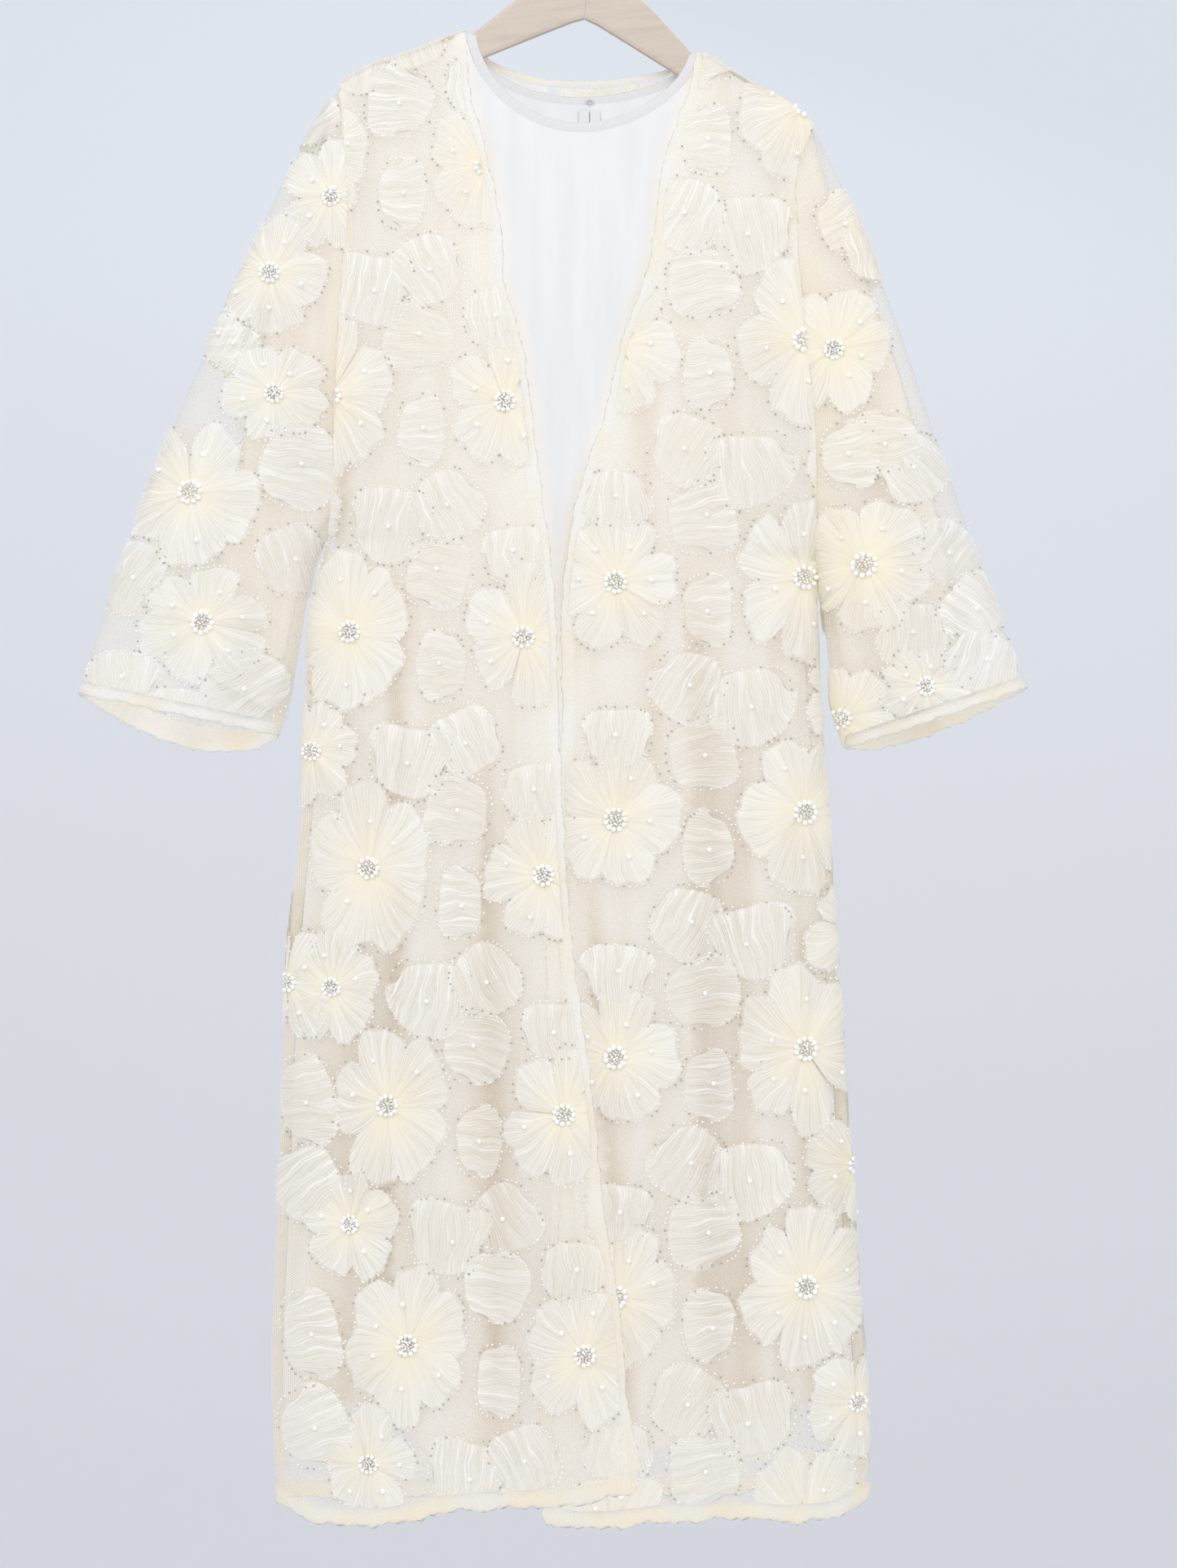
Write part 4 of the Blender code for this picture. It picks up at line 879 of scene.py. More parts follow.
def ribbed_finish():
    """The neckband's cloth, with close stitches across it."""
    f = Finish("stitched_band", (0.85, 0.855, 0.865), 0.6)
    uv = f.cloth_place()
    f.link(f.spread(f.math("COSINE", f.axis(uv, "Y")), -1.0, -0.6, 0.0, 1.0), "Alpha")
    rib = f.math("SINE", f.math("MULTIPLY", f.axis(uv, "X"), 2 * math.pi * STITCHES))
    tones = [(0.1, (0.775, 0.77, 0.775)), (0.7, (0.835, 0.832, 0.835))]
    f.link(f.ramp(f.scaled(rib, 0.5, 0.5), tones), "Base Color")
    f.bump(rib, 0.3, 0.3)
    return f.material


def wood_finish():
    """Pale beech with fine grain along each arm, and painted shade on the faces that point down."""
    f = Finish("beech", (0.72, 0.55, 0.42), 0.42, coat=0.2)
    turned = f.out("Mapping", {"Vector": f.object_place(), "Rotation": (0, TILT, 0)})
    grain = f.grain(turned, (14, 160, 160), 4, 0.6)
    fleck = f.grain(turned, (120, 1800, 1800))
    both = f.scaled(grain, 0.7, f.math("MULTIPLY", fleck, 0.35))
    tones = [(0.3, (0.57, 0.47, 0.39)), (0.5, (0.66, 0.56, 0.475)), (0.72, (0.72, 0.63, 0.55))]
    # Painted shade: the faces that point down are darker.
    under = f.spread(f.axis(f.out("TexCoord", {}, "Normal"), "Z"), -0.25, -0.5, 0.0, 0.55)
    f.mix(under, f.ramp(both, tones), (0.50, 0.40, 0.32, 1))
    f.link(f.scaled(grain, 0.2, 0.34), "Roughness")
    f.bump(fleck, 0.15, 0.2)
    return f.material


def metal_finish(name, colour, roughness):
    f = Finish(name, colour, roughness, 1.0)
    f.link(f.scaled(f.noise(f.object_place(), 1500), 0.2, roughness - 0.08), "Roughness")
    return f.material


def bead_finish(name, colour, roughness, metallic, coat, glow):
    """A bead; its glow stands in for the light that it scatters inside."""
    f = Finish(name, colour, roughness, metallic, coat, glow=glow)
    darker = tuple(c * 0.9 for c in colour)
    f.link(f.ramp(f.noise(f.object_place(), 240, 1), [(0.35, darker), (0.65, colour)]), "Base Color")
    return f.material


def tape_finish():
    f = Finish("zip_tape", (0.86, 0.86, 0.87), 0.8)
    weave = f.grain(f.object_place(), (1800, 1800, 5200), 1)
    f.link(f.ramp(weave, [(0.3, (0.78, 0.78, 0.79)), (0.7, (0.9, 0.9, 0.9))]), "Base Color")
    f.bump(weave, 0.3, 0.3)
    return f.material


net = net_finish("tulle_net", (0.96, 0.915, 0.835), 0.15, 0.46)
petal = petal_finish()
cream = fluffy_finish("cream_edge", (0.915, 0.895, 0.845), (0.925, 0.86, 0.735), 0.84)
hem_cream = fluffy_finish("hem_edge", (0.905, 0.875, 0.81), (0.945, 0.865, 0.70), 0.84)
seam_cream = fluffy_finish("armhole_seam", (0.93, 0.89, 0.79), (0.90, 0.79, 0.57), 0.7)
facing = net_finish("folded_net", (0.98, 0.94, 0.855), 0.25, 0.5)
# Doubled net at the seams and folds; its tan tone is painted shade.
shaded_seam_net = net_finish("shaded_seam_net", (0.92, 0.82, 0.64), 0.35, 0.62)
# The inside of the cuff: real cloth, toned beige and yellow as painted shade inside the sleeve.
shaded_cuff_inside = fluffy_finish("cuff_inside", (0.97, 0.925, 0.83), (0.97, 0.86, 0.64), 0.8)
satin = satin_finish()
ribbed = ribbed_finish()
beech = wood_finish()
steel = metal_finish("hook_steel", (0.62, 0.62, 0.64), 0.28)
tape = tape_finish()
silver = bead_finish("silver_seed", (0.56, 0.545, 0.52), 0.25, 0.5, 0.5, 0.0)
crystal = bead_finish("cut_crystal", (0.87, 0.86, 0.84), 0.15, 0.35, 0.5, 0.06)
clear = bead_finish("clear_seed", (1.0, 1.0, 0.99), 0.1, 0.0, 1.0, 0.07)
pearl = bead_finish("pearl", (1.0, 0.995, 0.98), 0.25, 0.0, 0.5, 0.09)


# Making meshes

LATTICE_DOWN = 0.87  # between the rows of a lattice of triangles, as a share of their sides
CLEAR_OF_EDGE = 0.45


def in_scene(name, data):
    made = bpy.data.objects.new(name, data)
    bpy.context.scene.collection.objects.link(made)
    return made


def make_object(name, points, faces, materials, slots=None, uv=None, values=None):
    """A mesh object from points in millimetres. values are named numbers, one for each point."""
    mesh = bpy.data.meshes.new(name)
    mesh.from_pydata((np.asarray(points) * MM).tolist(), [], np.asarray(faces).tolist())
    for each in materials:
        mesh.materials.append(each)
    if slots is not None:
        mesh.polygons.foreach_set("material_index", np.asarray(slots, np.int32))
    if uv is not None:
        corner = np.zeros(len(mesh.loops), np.int32)
        mesh.loops.foreach_get("vertex_index", corner)
        layer = mesh.uv_layers.new(name="cloth")
        layer.data.foreach_set("uv", np.asarray(uv, np.float32)[corner].ravel())
    for key, each in (values or {}).items():
        attribute = mesh.attributes.new(key, "FLOAT", "POINT")
        attribute.data.foreach_set("value", np.asarray(each, np.float32))
    mesh.shade_smooth()
    made = in_scene(name, mesh)
    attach(made, "root")
    return made


def sheer(*pieces):
    """Lets light through thin cloth, which scatters it onwards instead of shading what lies beneath."""
    for piece in pieces:
        piece.visible_shadow = False


def airy(*pieces):
    """Lets all light past soft edges, so that no dark line runs beside them."""
    sheer(*pieces)
    for piece in pieces:
        piece.visible_diffuse = False


def grid_faces(rows, cols, closed=False, ringed=False, start=0):
    """The quads of a grid of points; closed joins its last column to the first, and ringed its rows."""
    last_row, last_col = rows if ringed else rows - 1, cols if closed else cols - 1
    j, i = np.meshgrid(np.arange(last_row), np.arange(last_col), indexing="ij")
    down, across = (j + 1) % rows, (i + 1) % cols
    quads = np.stack([j * cols + i, j * cols + across, down * cols + across, down * cols + i], axis=-1)
    return quads.reshape(-1, 4) + start


def filled_chart(outline, spacing):
    """Points and triangles that fill an outline, with its own points first."""
    ring = spaced(np.vstack([outline, outline[:1]]), spacing)[:-1]
    low, high = ring.min(0), ring.max(0)
    down = spacing * LATTICE_DOWN
    rows = int((high[1] - low[1]) / down) + 1
    across = int((high[0] - low[0]) / spacing) + 2
    j, i = np.meshgrid(np.arange(rows), np.arange(across), indexing="ij")
    lattice = np.stack([low[0] + (i + 0.5 * (j % 2)) * spacing, low[1] + (j + 0.5) * down], axis=-1)
    lattice = lattice.reshape(-1, 2)
    lattice = lattice[inside(lattice, ring)]
    lattice = lattice[nearest_on(lattice, ring)[1] > CLEAR_OF_EDGE * spacing]
    chart = np.vstack([ring, lattice])
    flat = [Vector((x, -drop)) for x, drop in chart]
    edges = [(k, (k + 1) % len(ring)) for k in range(len(ring))]
    _, _, faces, origin, _, _ = delaunay_2d_cdt(flat, edges, [], 1, 1e-4)
    return chart, np.array([[origin[v][0] for v in face] for face in faces])


def cloth_panel(name, node, outline, place, face, spacing, finish):
    """A thin cloth over one wall."""
    chart, faces = filled_chart(outline, spacing)
    x, drop = chart.T
    if face == BACK:
        faces = faces[:, ::-1]
    values = None
    # The satin gets painted shade where the net hangs over it and in its folds.
    if finish == satin:
        values = {"painted_net_shade": painted_net_shade_share(x, drop, face), "painted_fold_shade": painted_fold_shade_share(x, drop, face)}
    made = make_object(name, place(x, drop), faces, [finish], uv=chart / 100, values=values)
    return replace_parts(made, node)


def sleeve_cloth(name, node, sleeve, finish, mesh, past):
    rows, around = mesh
    share, turn = np.meshgrid(np.linspace(0, 1, rows), np.arange(around) / around, indexing="ij")
    points = sleeve.tube(share, turn, past).reshape(-1, 3)
    uv = np.stack([turn * 4, share * 6], axis=-1).reshape(-1, 2)
    # Painted shade from the net and the folds, the same all over the sleeve.
    values = {"painted_net_shade": np.ones(len(points)), "painted_fold_shade": np.full(len(points), SLEEVE_PAINTED_SHADE)}
    made = make_object(name, points, grid_faces(rows, around, closed=True), [finish], uv=uv, values=values)
    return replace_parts(made, node)


def ball(fine):
    """Points and triangles of a small round solid: an icosahedron, once divided where it is fine."""
    g = (1 + 5**0.5) / 2
    p = np.array(
        [
            (-1, g, 0), (1, g, 0), (-1, -g, 0), (1, -g, 0), (0, -1, g), (0, 1, g),
            (0, -1, -g), (0, 1, -g), (g, 0, -1), (g, 0, 1), (-g, 0, -1), (-g, 0, 1),
        ]
    )
    p /= np.linalg.norm(p[0])
    near = np.linalg.norm(p[:, None] - p[None], axis=2) < 1.1
    f = [t for t in combinations(range(len(p)), 3) if all(near[pair] for pair in combinations(t, 2))]
    f = [t if np.dot(np.cross(p[t[1]] - p[t[0]], p[t[2]] - p[t[0]]), p[t[0]]) > 0 else t[::-1] for t in f]
    if fine:
        points, divided, middle = [tuple(v) for v in p], [], {}
        for a, b, c in f:
            m = []
            for pair in ((a, b), (b, c), (c, a)):
                key = tuple(sorted(pair))
                if key not in middle:
                    at = (p[pair[0]] + p[pair[1]]) / 2
                    middle[key] = len(points)
                    points.append(tuple(at / np.linalg.norm(at)))
                m.append(middle[key])
            divided += [(a, m[0], m[2]), (b, m[1], m[0]), (c, m[2], m[1]), tuple(m)]
        p, f = np.array(points), divided
    return p, np.array(f)


BALL, FINE_BALL = ball(False), ball(True)


def scatter(name, kinds, materials):
    """Many small beads as one mesh. kinds is a list of (shape, centres, radii), one for each material."""
    points, faces, slots, start = [], [], [], 0
    for number, ((p, f), centres, radii) in enumerate(kinds):
        if not len(centres):
            continue
        each = centres[:, None, :] + p[None] * np.asarray(radii)[:, None, None]
        index = f[None] + (np.arange(len(centres)) * len(p))[:, None, None] + start
        points.append(each.reshape(-1, 3))
        faces.append(index.reshape(-1, 3))
        slots.append(np.full(len(faces[-1]), number))
        start += len(points[-1])
    return make_object(name, np.vstack(points), np.vstack(faces), materials, np.concatenate(slots))


# Appliques, in the front view with a height over the net


class Applied:
    """Gathers the appliques of one panel before they are made into meshes."""

    def __init__(self, place, face, outline, seed, painted_shade):
        self.place, self.face, self.outline, self.painted_shade = place, face, outline, painted_shade
        self.random = np.random.default_rng(seed)
        self.grids, self.beads, self.pearls, self.crystals = [], [], [], []

    def on_cloth(self, x, drop, height):
        return self.place(x, drop) + normals(self.place, x, drop, self.face) * height[..., None]

    def add(self, flower, x, drop, wide, high, turn, *gathered):
        if flower:
            self.add_flower(x, drop, wide, high, turn)
        else:
            self.add_petal(x, drop, wide, high, turn, *gathered)

    def add_flower(self, x, drop, wide, high, turn):
        random = self.random
        turn = math.radians(turn + random.uniform(-10, 10))
        petals = FLOWER_PETALS + (random.random() < 0.3)
        for k in random.permutation(petals):
            middle = turn + 2 * math.pi * (k + random.uniform(-0.07, 0.07)) / petals
            half = math.pi / petals * random.uniform(1.02, 1.25)
            self.fan_petal(x, drop, wide / 2, high / 2, middle, half, math.pi / petals / half)
        self.add_centre(x, drop, min(1.05, max(0.82, wide / 108)))
        for k in range(petals):
            if random.random() < 0.75:
                a = turn + 2 * math.pi * k / petals + random.uniform(-0.3, 0.3)
                r = random.uniform(0.52, 0.7)
                place = (x + r * wide / 2 * math.cos(a), drop + r * high / 2 * math.sin(a))
                self.pearls.append((*place, LOOSE_PEARL_HEIGHT, random.uniform(0.8, 0.95)))

    def add_centre(self, x, drop, scale):
        """A ring of pearls round a heap of crystals."""
        random, count = self.random, RING_PEARLS
        angle = 2 * math.pi * (np.arange(count) + random.uniform(-0.12, 0.12, count)) / count
        reach = PEARL_RING * scale + random.uniform(-0.3, 0.3, count)
        for a, r in zip(angle, reach):
            place = (x + r * math.cos(a), drop + r * math.sin(a))
            self.pearls.append((*place, RING_HEIGHT, scale * random.uniform(0.92, 1.05)))
        for k in range(HEAP_CRYSTALS):
            r = HEAP_REACH * math.sqrt((k + 0.5) / HEAP_CRYSTALS) * scale
            a = 2.4 * k + random.uniform(-0.2, 0.2)
            size = random.uniform(0.8, 1.15)
            height = HEAP_HEIGHT - 0.02 * r * r + random.uniform(-0.3, 0.4)
            self.crystals.append((x + r * math.cos(a), drop + r * math.sin(a), height, size))

    def fan_petal(self, x, drop, wide, high, middle, half, own):
        """One petal of a flower: a fan gathered at the centre, with loops on its rim."""
        random = self.random
        s, v = np.meshgrid(np.linspace(-1, 1, GRID_ACROSS), np.linspace(0, 1, FAN_ALONG))
        phase = random.uniform(0, 6.3, 6)
        size = random.uniform(1.02, 1.16)
        loops = random.integers(5, 9)
        uneven_s = s + 0.16 * np.sin(2.6 * s + phase[0]) + 0.07 * np.sin(7 * s + phase[1])
        loop = (uneven_s + 1) / 2 * loops
        lobe = np.abs(np.sin(math.pi * loop)) ** 0.6
        notch = random.uniform(0.22, 0.52)
        depth = random.uniform(0.01, 0.035)
        uneven = 0.04 * np.sin(4.3 * s + phase[2]) + 0.025 * np.sin(9.7 * s + phase[3])
        rim = size * (1 - notch * np.abs(s) ** 3.8 + uneven) - depth * (1 - lobe)
        reach = 0.02 + (rim - 0.02) * v
        angle = middle + half * s + 0.05 * np.sin(5 * v + phase[4]) * v * (1 - s**2)
        gather = 2 * math.pi * loop * (1 + 0.3 * (phase[5] > 3))
        wave = 0.5 - 0.5 * np.cos(gather + 0.8 * np.sin(4 * v + phase[1]))
        ridge = lobe * v**2 + (1 - v**2) * wave
        puff = 1.6 + 1.7 * np.sin(math.pi * v**0.75) * (1 - 0.5 * s**2)
        soft_folds = 0.55 * np.sin(5.2 * s + phase[5]) * v * (1 - 0.4 * v)
        height = puff + 0.4 * (ridge - 0.5) * (0.25 + 0.75 * v) + 0.5 * np.sin(3 * s + phase[2]) + soft_folds

        def on_panel(reach, angle):
            return x + wide * reach * np.cos(angle), drop + high * reach * np.sin(angle)

        given = {"ridge": ridge, "warm": (1 - v) ** 1.5, "rim": np.maximum(v, 0.3 + 0.68 * np.abs(s) ** 9)}
        body = random.uniform(0.42, 0.7)
        self.keep_grid(*on_panel(reach, angle), height, (s + 1) * 42 * half, v * wide, given, body)
        count = max(4, int((half * own * 2 * wide * size + 10) / BEAD_STEP))
        t = np.linspace(-own, own, count)
        bead_rim = size * (1 - notch * np.abs(t) ** 3.8 + 0.04 * np.sin(4.3 * t + phase[2])) - 0.4 / wide
        self.keep_beads(*on_panel(bead_rim, middle + half * t))

    def add_petal(self, x, drop, wide, high, turn, pleat, gathers, bend):
        """A single petal of parallel, wavy gathers."""
        random = self.random
        pleat, turn = math.radians(pleat), math.radians(turn)
        s, t = np.meshgrid(np.linspace(-1, 1, GRID_ACROSS), np.linspace(-1, 1, PETAL_ALONG))
        phase = random.uniform(0, 6.3, 8)
        # The outline is a soft superellipse, crossed along the gathers' own direction.
        across, along = (math.cos(pleat), math.sin(pleat)), (-math.sin(pleat), math.cos(pleat))
        a, b = wide / 2, high / 2
        reach_across = math.hypot(a * across[0], b * across[1])
        reach_along = math.hypot(a * along[0], b * along[1])
        uneven_s = s + 0.13 * np.sin(3.1 * s + phase[0]) + 0.06 * np.sin(7 * s + phase[1])
        loop = (uneven_s + 1) / 2 * gathers
        lobe = np.abs(np.sin(math.pi * loop)) ** 0.6
        chord = (1 - np.abs(s) ** 3) ** 0.45
        chord = chord * (1 + 0.07 * np.sin(2.6 * s + phase[2])) - 0.04 * (1 - lobe) * chord
        narrow = 1 - random.uniform(0.05, 0.2) * t * (1 if phase[3] > 3 else -1)
        sway = 0.5 * np.sin(2.4 * t + phase[4]) + 0.35 * np.sin(4.5 * t + 5 * s + phase[5])
        ridge = 0.5 - 0.5 * np.cos(2 * math.pi * loop + 0.9 * np.sin(2.6 * t + phase[6]))
        edge_fall = (1 - t**2 * 0.75) * (1 - 0.8 * s**4)
        height = 1.4 + 1.5 * edge_fall + 4.6 / gathers * (ridge**0.7 - 0.5) * (0.3 + 0.7 * edge_fall)
        height += 0.4 * np.sin(2 * s + phase[7])

        def on_panel(u, w):
            local_x, local_d = u * across[0] + w * along[0], u * across[1] + w * along[1]
            local_d = local_d - bend * (2 * local_x / wide) ** 2
            return (
                x + local_x * math.cos(turn) - local_d * math.sin(turn),
                drop + local_x * math.sin(turn) + local_d * math.cos(turn),
            )

        places = on_panel(s * reach_across * narrow + 3.2 * sway * (1 - s**2), t * chord * reach_along)
        given = {"ridge": ridge, "warm": 0 * s, "rim": np.maximum(np.abs(t), np.abs(s) ** 1.5)}
        body = random.uniform(0.3, 0.58)
        self.keep_grid(*places, height, (s + 1) * reach_across, (t + 1) * reach_along, given, body)
        if random.random() < 0.92:
            place = (x + random.uniform(-3, 3), drop + random.uniform(-3, 3))
            self.pearls.append((*place, LOOSE_PEARL_HEIGHT, 0.88))
        count = int(math.pi * (a + b) / BEAD_STEP)
        angle = 2 * math.pi * np.arange(count) / count
        c, d = np.cos(angle), np.sin(angle)
        bead_u = np.sign(c) * np.abs(c) ** 0.75 * (reach_across + 0.8)
        bead_w = np.sign(d) * np.abs(d) ** 0.75 * (reach_along + 0.8)
        self.keep_beads(*on_panel(bead_u, bead_w))

    def keep_grid(self, x, drop, height, across, along, given, body):
        """Keeps one petal; across and along run over its cloth, and given holds its named numbers."""
        height = np.maximum(height, 0.5) + self.random.uniform(0, 0.6)
        shade = self.random.random()
        # The panel's painted shade makes its petals warmer.
        given = {**given, "warm": given["warm"] + self.painted_shade(x), "shade": shade, "body": body}
        uv = np.stack([across.ravel() / 10 + 9 * shade, along.ravel() / 10], axis=1)
        self.grids.append((x, drop, height, uv, given))

    def keep_beads(self, x, drop):
        count = len(x)
        x = x + self.random.uniform(-0.6, 0.6, count)
        drop = drop + self.random.uniform(-0.6, 0.6, count)
        size = self.random.uniform(0.85, 1.15, count)
        self.beads += list(zip(x, drop, np.full(count, BEAD_HEIGHT), size))

    def build(self, name):
        """The petals, the seed beads, and the pearls with the crystals, as three joined meshes."""
        points, faces, values, uvs, start = [], [], {}, [], 0
        for x, drop, height, uv, given in self.grids:
            chart, keep = drawn_in(np.stack([x.ravel(), drop.ravel()], axis=1), self.outline)
            quads = grid_faces(*x.shape)
            quads = quads[keep[quads].any(axis=1)]
            if not len(quads):
                continue
            used = np.unique(quads)
            index = np.full(x.size, -1)
            index[used] = np.arange(len(used)) + start
            points.append(self.on_cloth(*chart[used].T, height.ravel()[used]))
            faces.append(index[quads])
            for key, each in given.items():
                values.setdefault(key, []).append(np.broadcast_to(each, x.shape).ravel()[used])
            uvs.append(uv[used])
            start += len(used)
        if self.face == BACK:
            faces = [f[:, ::-1] for f in faces]
        values = {key: np.concatenate(each) for key, each in values.items()}
        petals = make_object(
            name + "_petals", np.vstack(points), np.vstack(faces), [petal], uv=np.vstack(uvs), values=values
        )
        seeds = self.beads_by_chance(self.round_things(self.beads, 2.0, BEAD_SIZE), 0.3)
        seeds = scatter(name + "_seed_beads", seeds, [silver, clear])
        pearls = (FINE_BALL, *self.round_things(self.pearls, 1.0, PEARL_SIZE))
        crystals = self.beads_by_chance(self.round_things(self.crystals, 1.0, CRYSTAL_SIZE), 0.5)
        jewels = scatter(name + "_pearls", [pearls, *crystals], [pearl, crystal, clear])
        return [petals, seeds, jewels]

    def round_things(self, rows, margin, size):
        """Centres and radii of the beads that lie on the panel."""
        found = np.array(rows, float).reshape(-1, 4)
        found = found[inside(found[:, :2], self.outline)]
        found = found[nearest_on(found[:, :2], self.outline)[1] > margin]
        return self.on_cloth(found[:, 0], found[:, 1], found[:, 2]), found[:, 3] * size

    def beads_by_chance(self, things, share):
        """Beads in two kinds, the first with that share of them."""
        centres, radii = things
        first = self.random.random(len(centres)) < share
        return [(BALL, centres[kind], radii[kind]) for kind in (first, ~first)]


def add_repeats(applied, panel):
    """The net's repeat, all the way up and down a body panel, and the motifs beside it."""
    low, high = applied.outline.min(0) - 60, applied.outline.max(0) + 60
    for x0, drop0, lean, way, narrow in PANEL_REPEATS[panel]:
        for step in range(-3, 5):
            for flower, across, down, wide, tall, turn, pleat, gathers, bend in rows_of(REPEAT):
                drop = drop0 + step * REPEAT_HIGH + down
                x = x0 + way * across * narrow + lean * (drop - drop0)
                if low[0] < x < high[0] and low[1] < drop < high[1]:
                    applied.add(
                        flower, x, drop, wide * narrow, tall, way * turn, way * pleat, gathers, bend
                    )
    for move in SIDE_MOVES.get(panel, ()):
        add_motifs(applied, SIDE_MOTIFS, move)


def add_motifs(applied, table, move):
    """The motifs of a table, moved by an x, a drop and a turn."""
    for flower, x, drop, wide, high, turn, *gathered in rows_of(table):
        applied.add(flower, x + move[0], drop + move[1], wide, high, turn + move[2], *gathered)


# Rolled edges


def soft_roll(name, line, outward, toward, wide, thick, finish, seed, closed=False, uneven=1.0, faded=True):
    """A soft, flat and slightly puckered rolled edge, wide along toward and thick along outward."""
    random = np.random.default_rng(seed)
    count = len(line)
    along = lengths_along(line)
    whole = along[-1] + ROLL_STEP
    turn = 2 * np.pi * np.arange(ROLL_SIDES) / ROLL_SIDES

    def waves(lengths, shape):
        total = np.zeros((count, shape))
        for length in lengths:
            cycles = 2 * np.pi * max(1, round(whole / length)) / whole
            total += np.sin(along[:, None] * cycles + random.uniform(0, 6.3, shape)[None])
        return total / len(lengths)

    pucker = 1 + uneven * (0.16 * waves((7.0, 11.0, 17.0), ROLL_SIDES) + 0.12 * waves((31.0, 53.0), 1))
    wander = uneven * 0.05 * wide * waves((23.0, 41.0, 67.0), 1)
    c, d = np.cos(turn), np.sin(turn)
    away = (np.sign(c) * np.abs(c) ** 0.8)[None] * wide / 2 * pucker + wander
    out = (np.sign(d) * np.abs(d) ** 0.9)[None] * thick / 2 * pucker
    centre = line + toward * wide / 2 + outward * thick / 2
    points = centre[:, None] + away[..., None] * toward[:, None] + out[..., None] * outward[:, None]
    if not closed:
        for end in (0, -1):
            middle = points[end].mean(0)
            points[end] = middle + (points[end] - middle) * 0.35
    faces = grid_faces(count, ROLL_SIDES, closed=True, ringed=closed)
    uv = np.stack(np.broadcast_arrays(along[:, None] / 10, turn[None] * faded), axis=-1).reshape(-1, 2)
    return make_object(name, points.reshape(-1, 3), faces, [finish], uv=uv)


def strips(name, bands, finish, turns=None):
    """Bands of cloth as one mesh; each band is several lines of as many points.

    turns gives a fluffy band's second coordinate, one for each line.
    """
    points, faces, uv, start = [], [], [], 0
    for lines in bands:
        grid = np.stack(lines)
        rows, cols = grid.shape[:2]
        points.append(grid.reshape(-1, 3))
        faces.append(grid_faces(rows, cols, start=start))
        second = np.arange(rows) / 4 if turns is None else np.array(turns)
        uv.append(np.stack(np.meshgrid(np.arange(cols) / 4, second), axis=-1).reshape(-1, 2))
        start += rows * cols
    return make_object(name, np.vstack(points), np.vstack(faces), [finish], uv=np.vstack(uv))


def under_cloth(place, face, line, shifts, depth=0.7):
    """Lines just under a cloth, beside a line of the front view."""
    lines = []
    for shift in shifts:
        x, drop = line[:, 0] + shift, line[:, 1]
        lines.append(place(x, drop) - depth * normals(place, x, drop, face))
    return lines


def edge_roll(name, node, place, face, chart, toward_chart, over, wide, thick, finish, **looks):
    """A soft roll along a line of the front view, which starts that far over its cloth."""
    points = place(chart[:, 0], chart[:, 1])
    outward = normals(place, chart[:, 0], chart[:, 1], face)
    along = unit(np.gradient(points, axis=0))
    toward = unit(np.cross(along, outward))
    toward *= np.sign((toward * np.asarray(toward_chart)).sum(1))[:, None]
    roll = soft_roll(name, points - over * toward, outward, toward, wide, thick, finish, **looks)
    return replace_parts(roll, node) if node else roll


# The robe


def hem_roll(word, place, hem_key, x_from, x_to, seed):
    x = np.arange(x_from, x_to, ROLL_STEP)
    line = np.stack([x, HEM_AT[hem_key](x) - HEM_BAND], axis=1)
    return edge_roll(
        "hem_edge_" + word, "robe_hem_" + word, place, hem_key[0], line, (0, 0, -1), ROLL_OVER, *HEM_ROLL,
        hem_cream, seed=seed, uneven=1.5,
    )


def front_bindings(side, place):
    """The rolled front edge, the folded strip beside it and the hem of one front."""
    word = WORD[side]
    edge = spaced(front_edge(side), ROLL_STEP)
    roll = edge_roll(
        "front_edge_" + word, "robe_front_binding_" + word, place, FRONT, edge, (-side, 0, 0), EDGE_OVER,
        *EDGE_ROLL, cream, seed=SEEDS["edge"] + side,
    )
    shifts = side * np.linspace(0.0, FACING, 4)
    fold = strips("front_facing_" + word, [under_cloth(place, FRONT, edge[3:], shifts)], facing)
    ends = sorted((float(ROBE.edge(side, ROBE_BOTTOMS[0] - HEM_BAND)), edge[-1, 0]))
    hem = hem_roll(word, place, (FRONT, side), *ends, SEEDS["hem"] + side)
    return [roll, fold, hem]


def armhole_seam(side, place, face):
    """The bulky seam between a panel and its sleeve, and the doubled net down the side below it, toned tan as
    painted shade.
    """
    word = WORD[side] + "_" + HALF[face]
    seam = side_line(ROBE, side, UNDERARM[side] - 3)[2:]
    seam = spaced(seam - np.array([side * 2.0, 0]), ROLL_STEP)
    roll = edge_roll(
        "armhole_seam_" + word, None, place, face, seam, (side, 0, 0), ROLL_OVER, *SEAM_ROLL, seam_cream,
        seed=SEEDS["armhole"] + side, uneven=1.5,
    )
    low = spaced(side_line(ROBE, side, LOW_SIDE)[1:], 8.0)
    low = low[low[:, 1] > UNDERARM[side] + 6]
    shifts = -side * np.array([1.0, 5.0, 10.0])
    fold = strips("side_fold_" + word, [under_cloth(place, face, low, shifts)], shaded_seam_net)
    airy(roll, fold)
    return [roll, fold]


def build_robe_front(side):
    word = WORD[side]
    place = body_surface(ROBE, FRONT, side == LEFT)
    outline = robe_front_outline(side)
    panel = cloth_panel("net_front_" + word, "robe_front_" + word, outline, place, FRONT, NET_MESH, net)
    applied = Applied(place, FRONT, outline, SEEDS["front"] + side, lambda x: FRONT_PAINTED_SHADE)
    add_repeats(applied, "front_" + word)
    added = applied.build("front_" + word)
    bindings = front_bindings(side, place)
    sheer(panel, added[0])
    airy(*bindings)
    added += bindings + armhole_seam(side, place, FRONT)


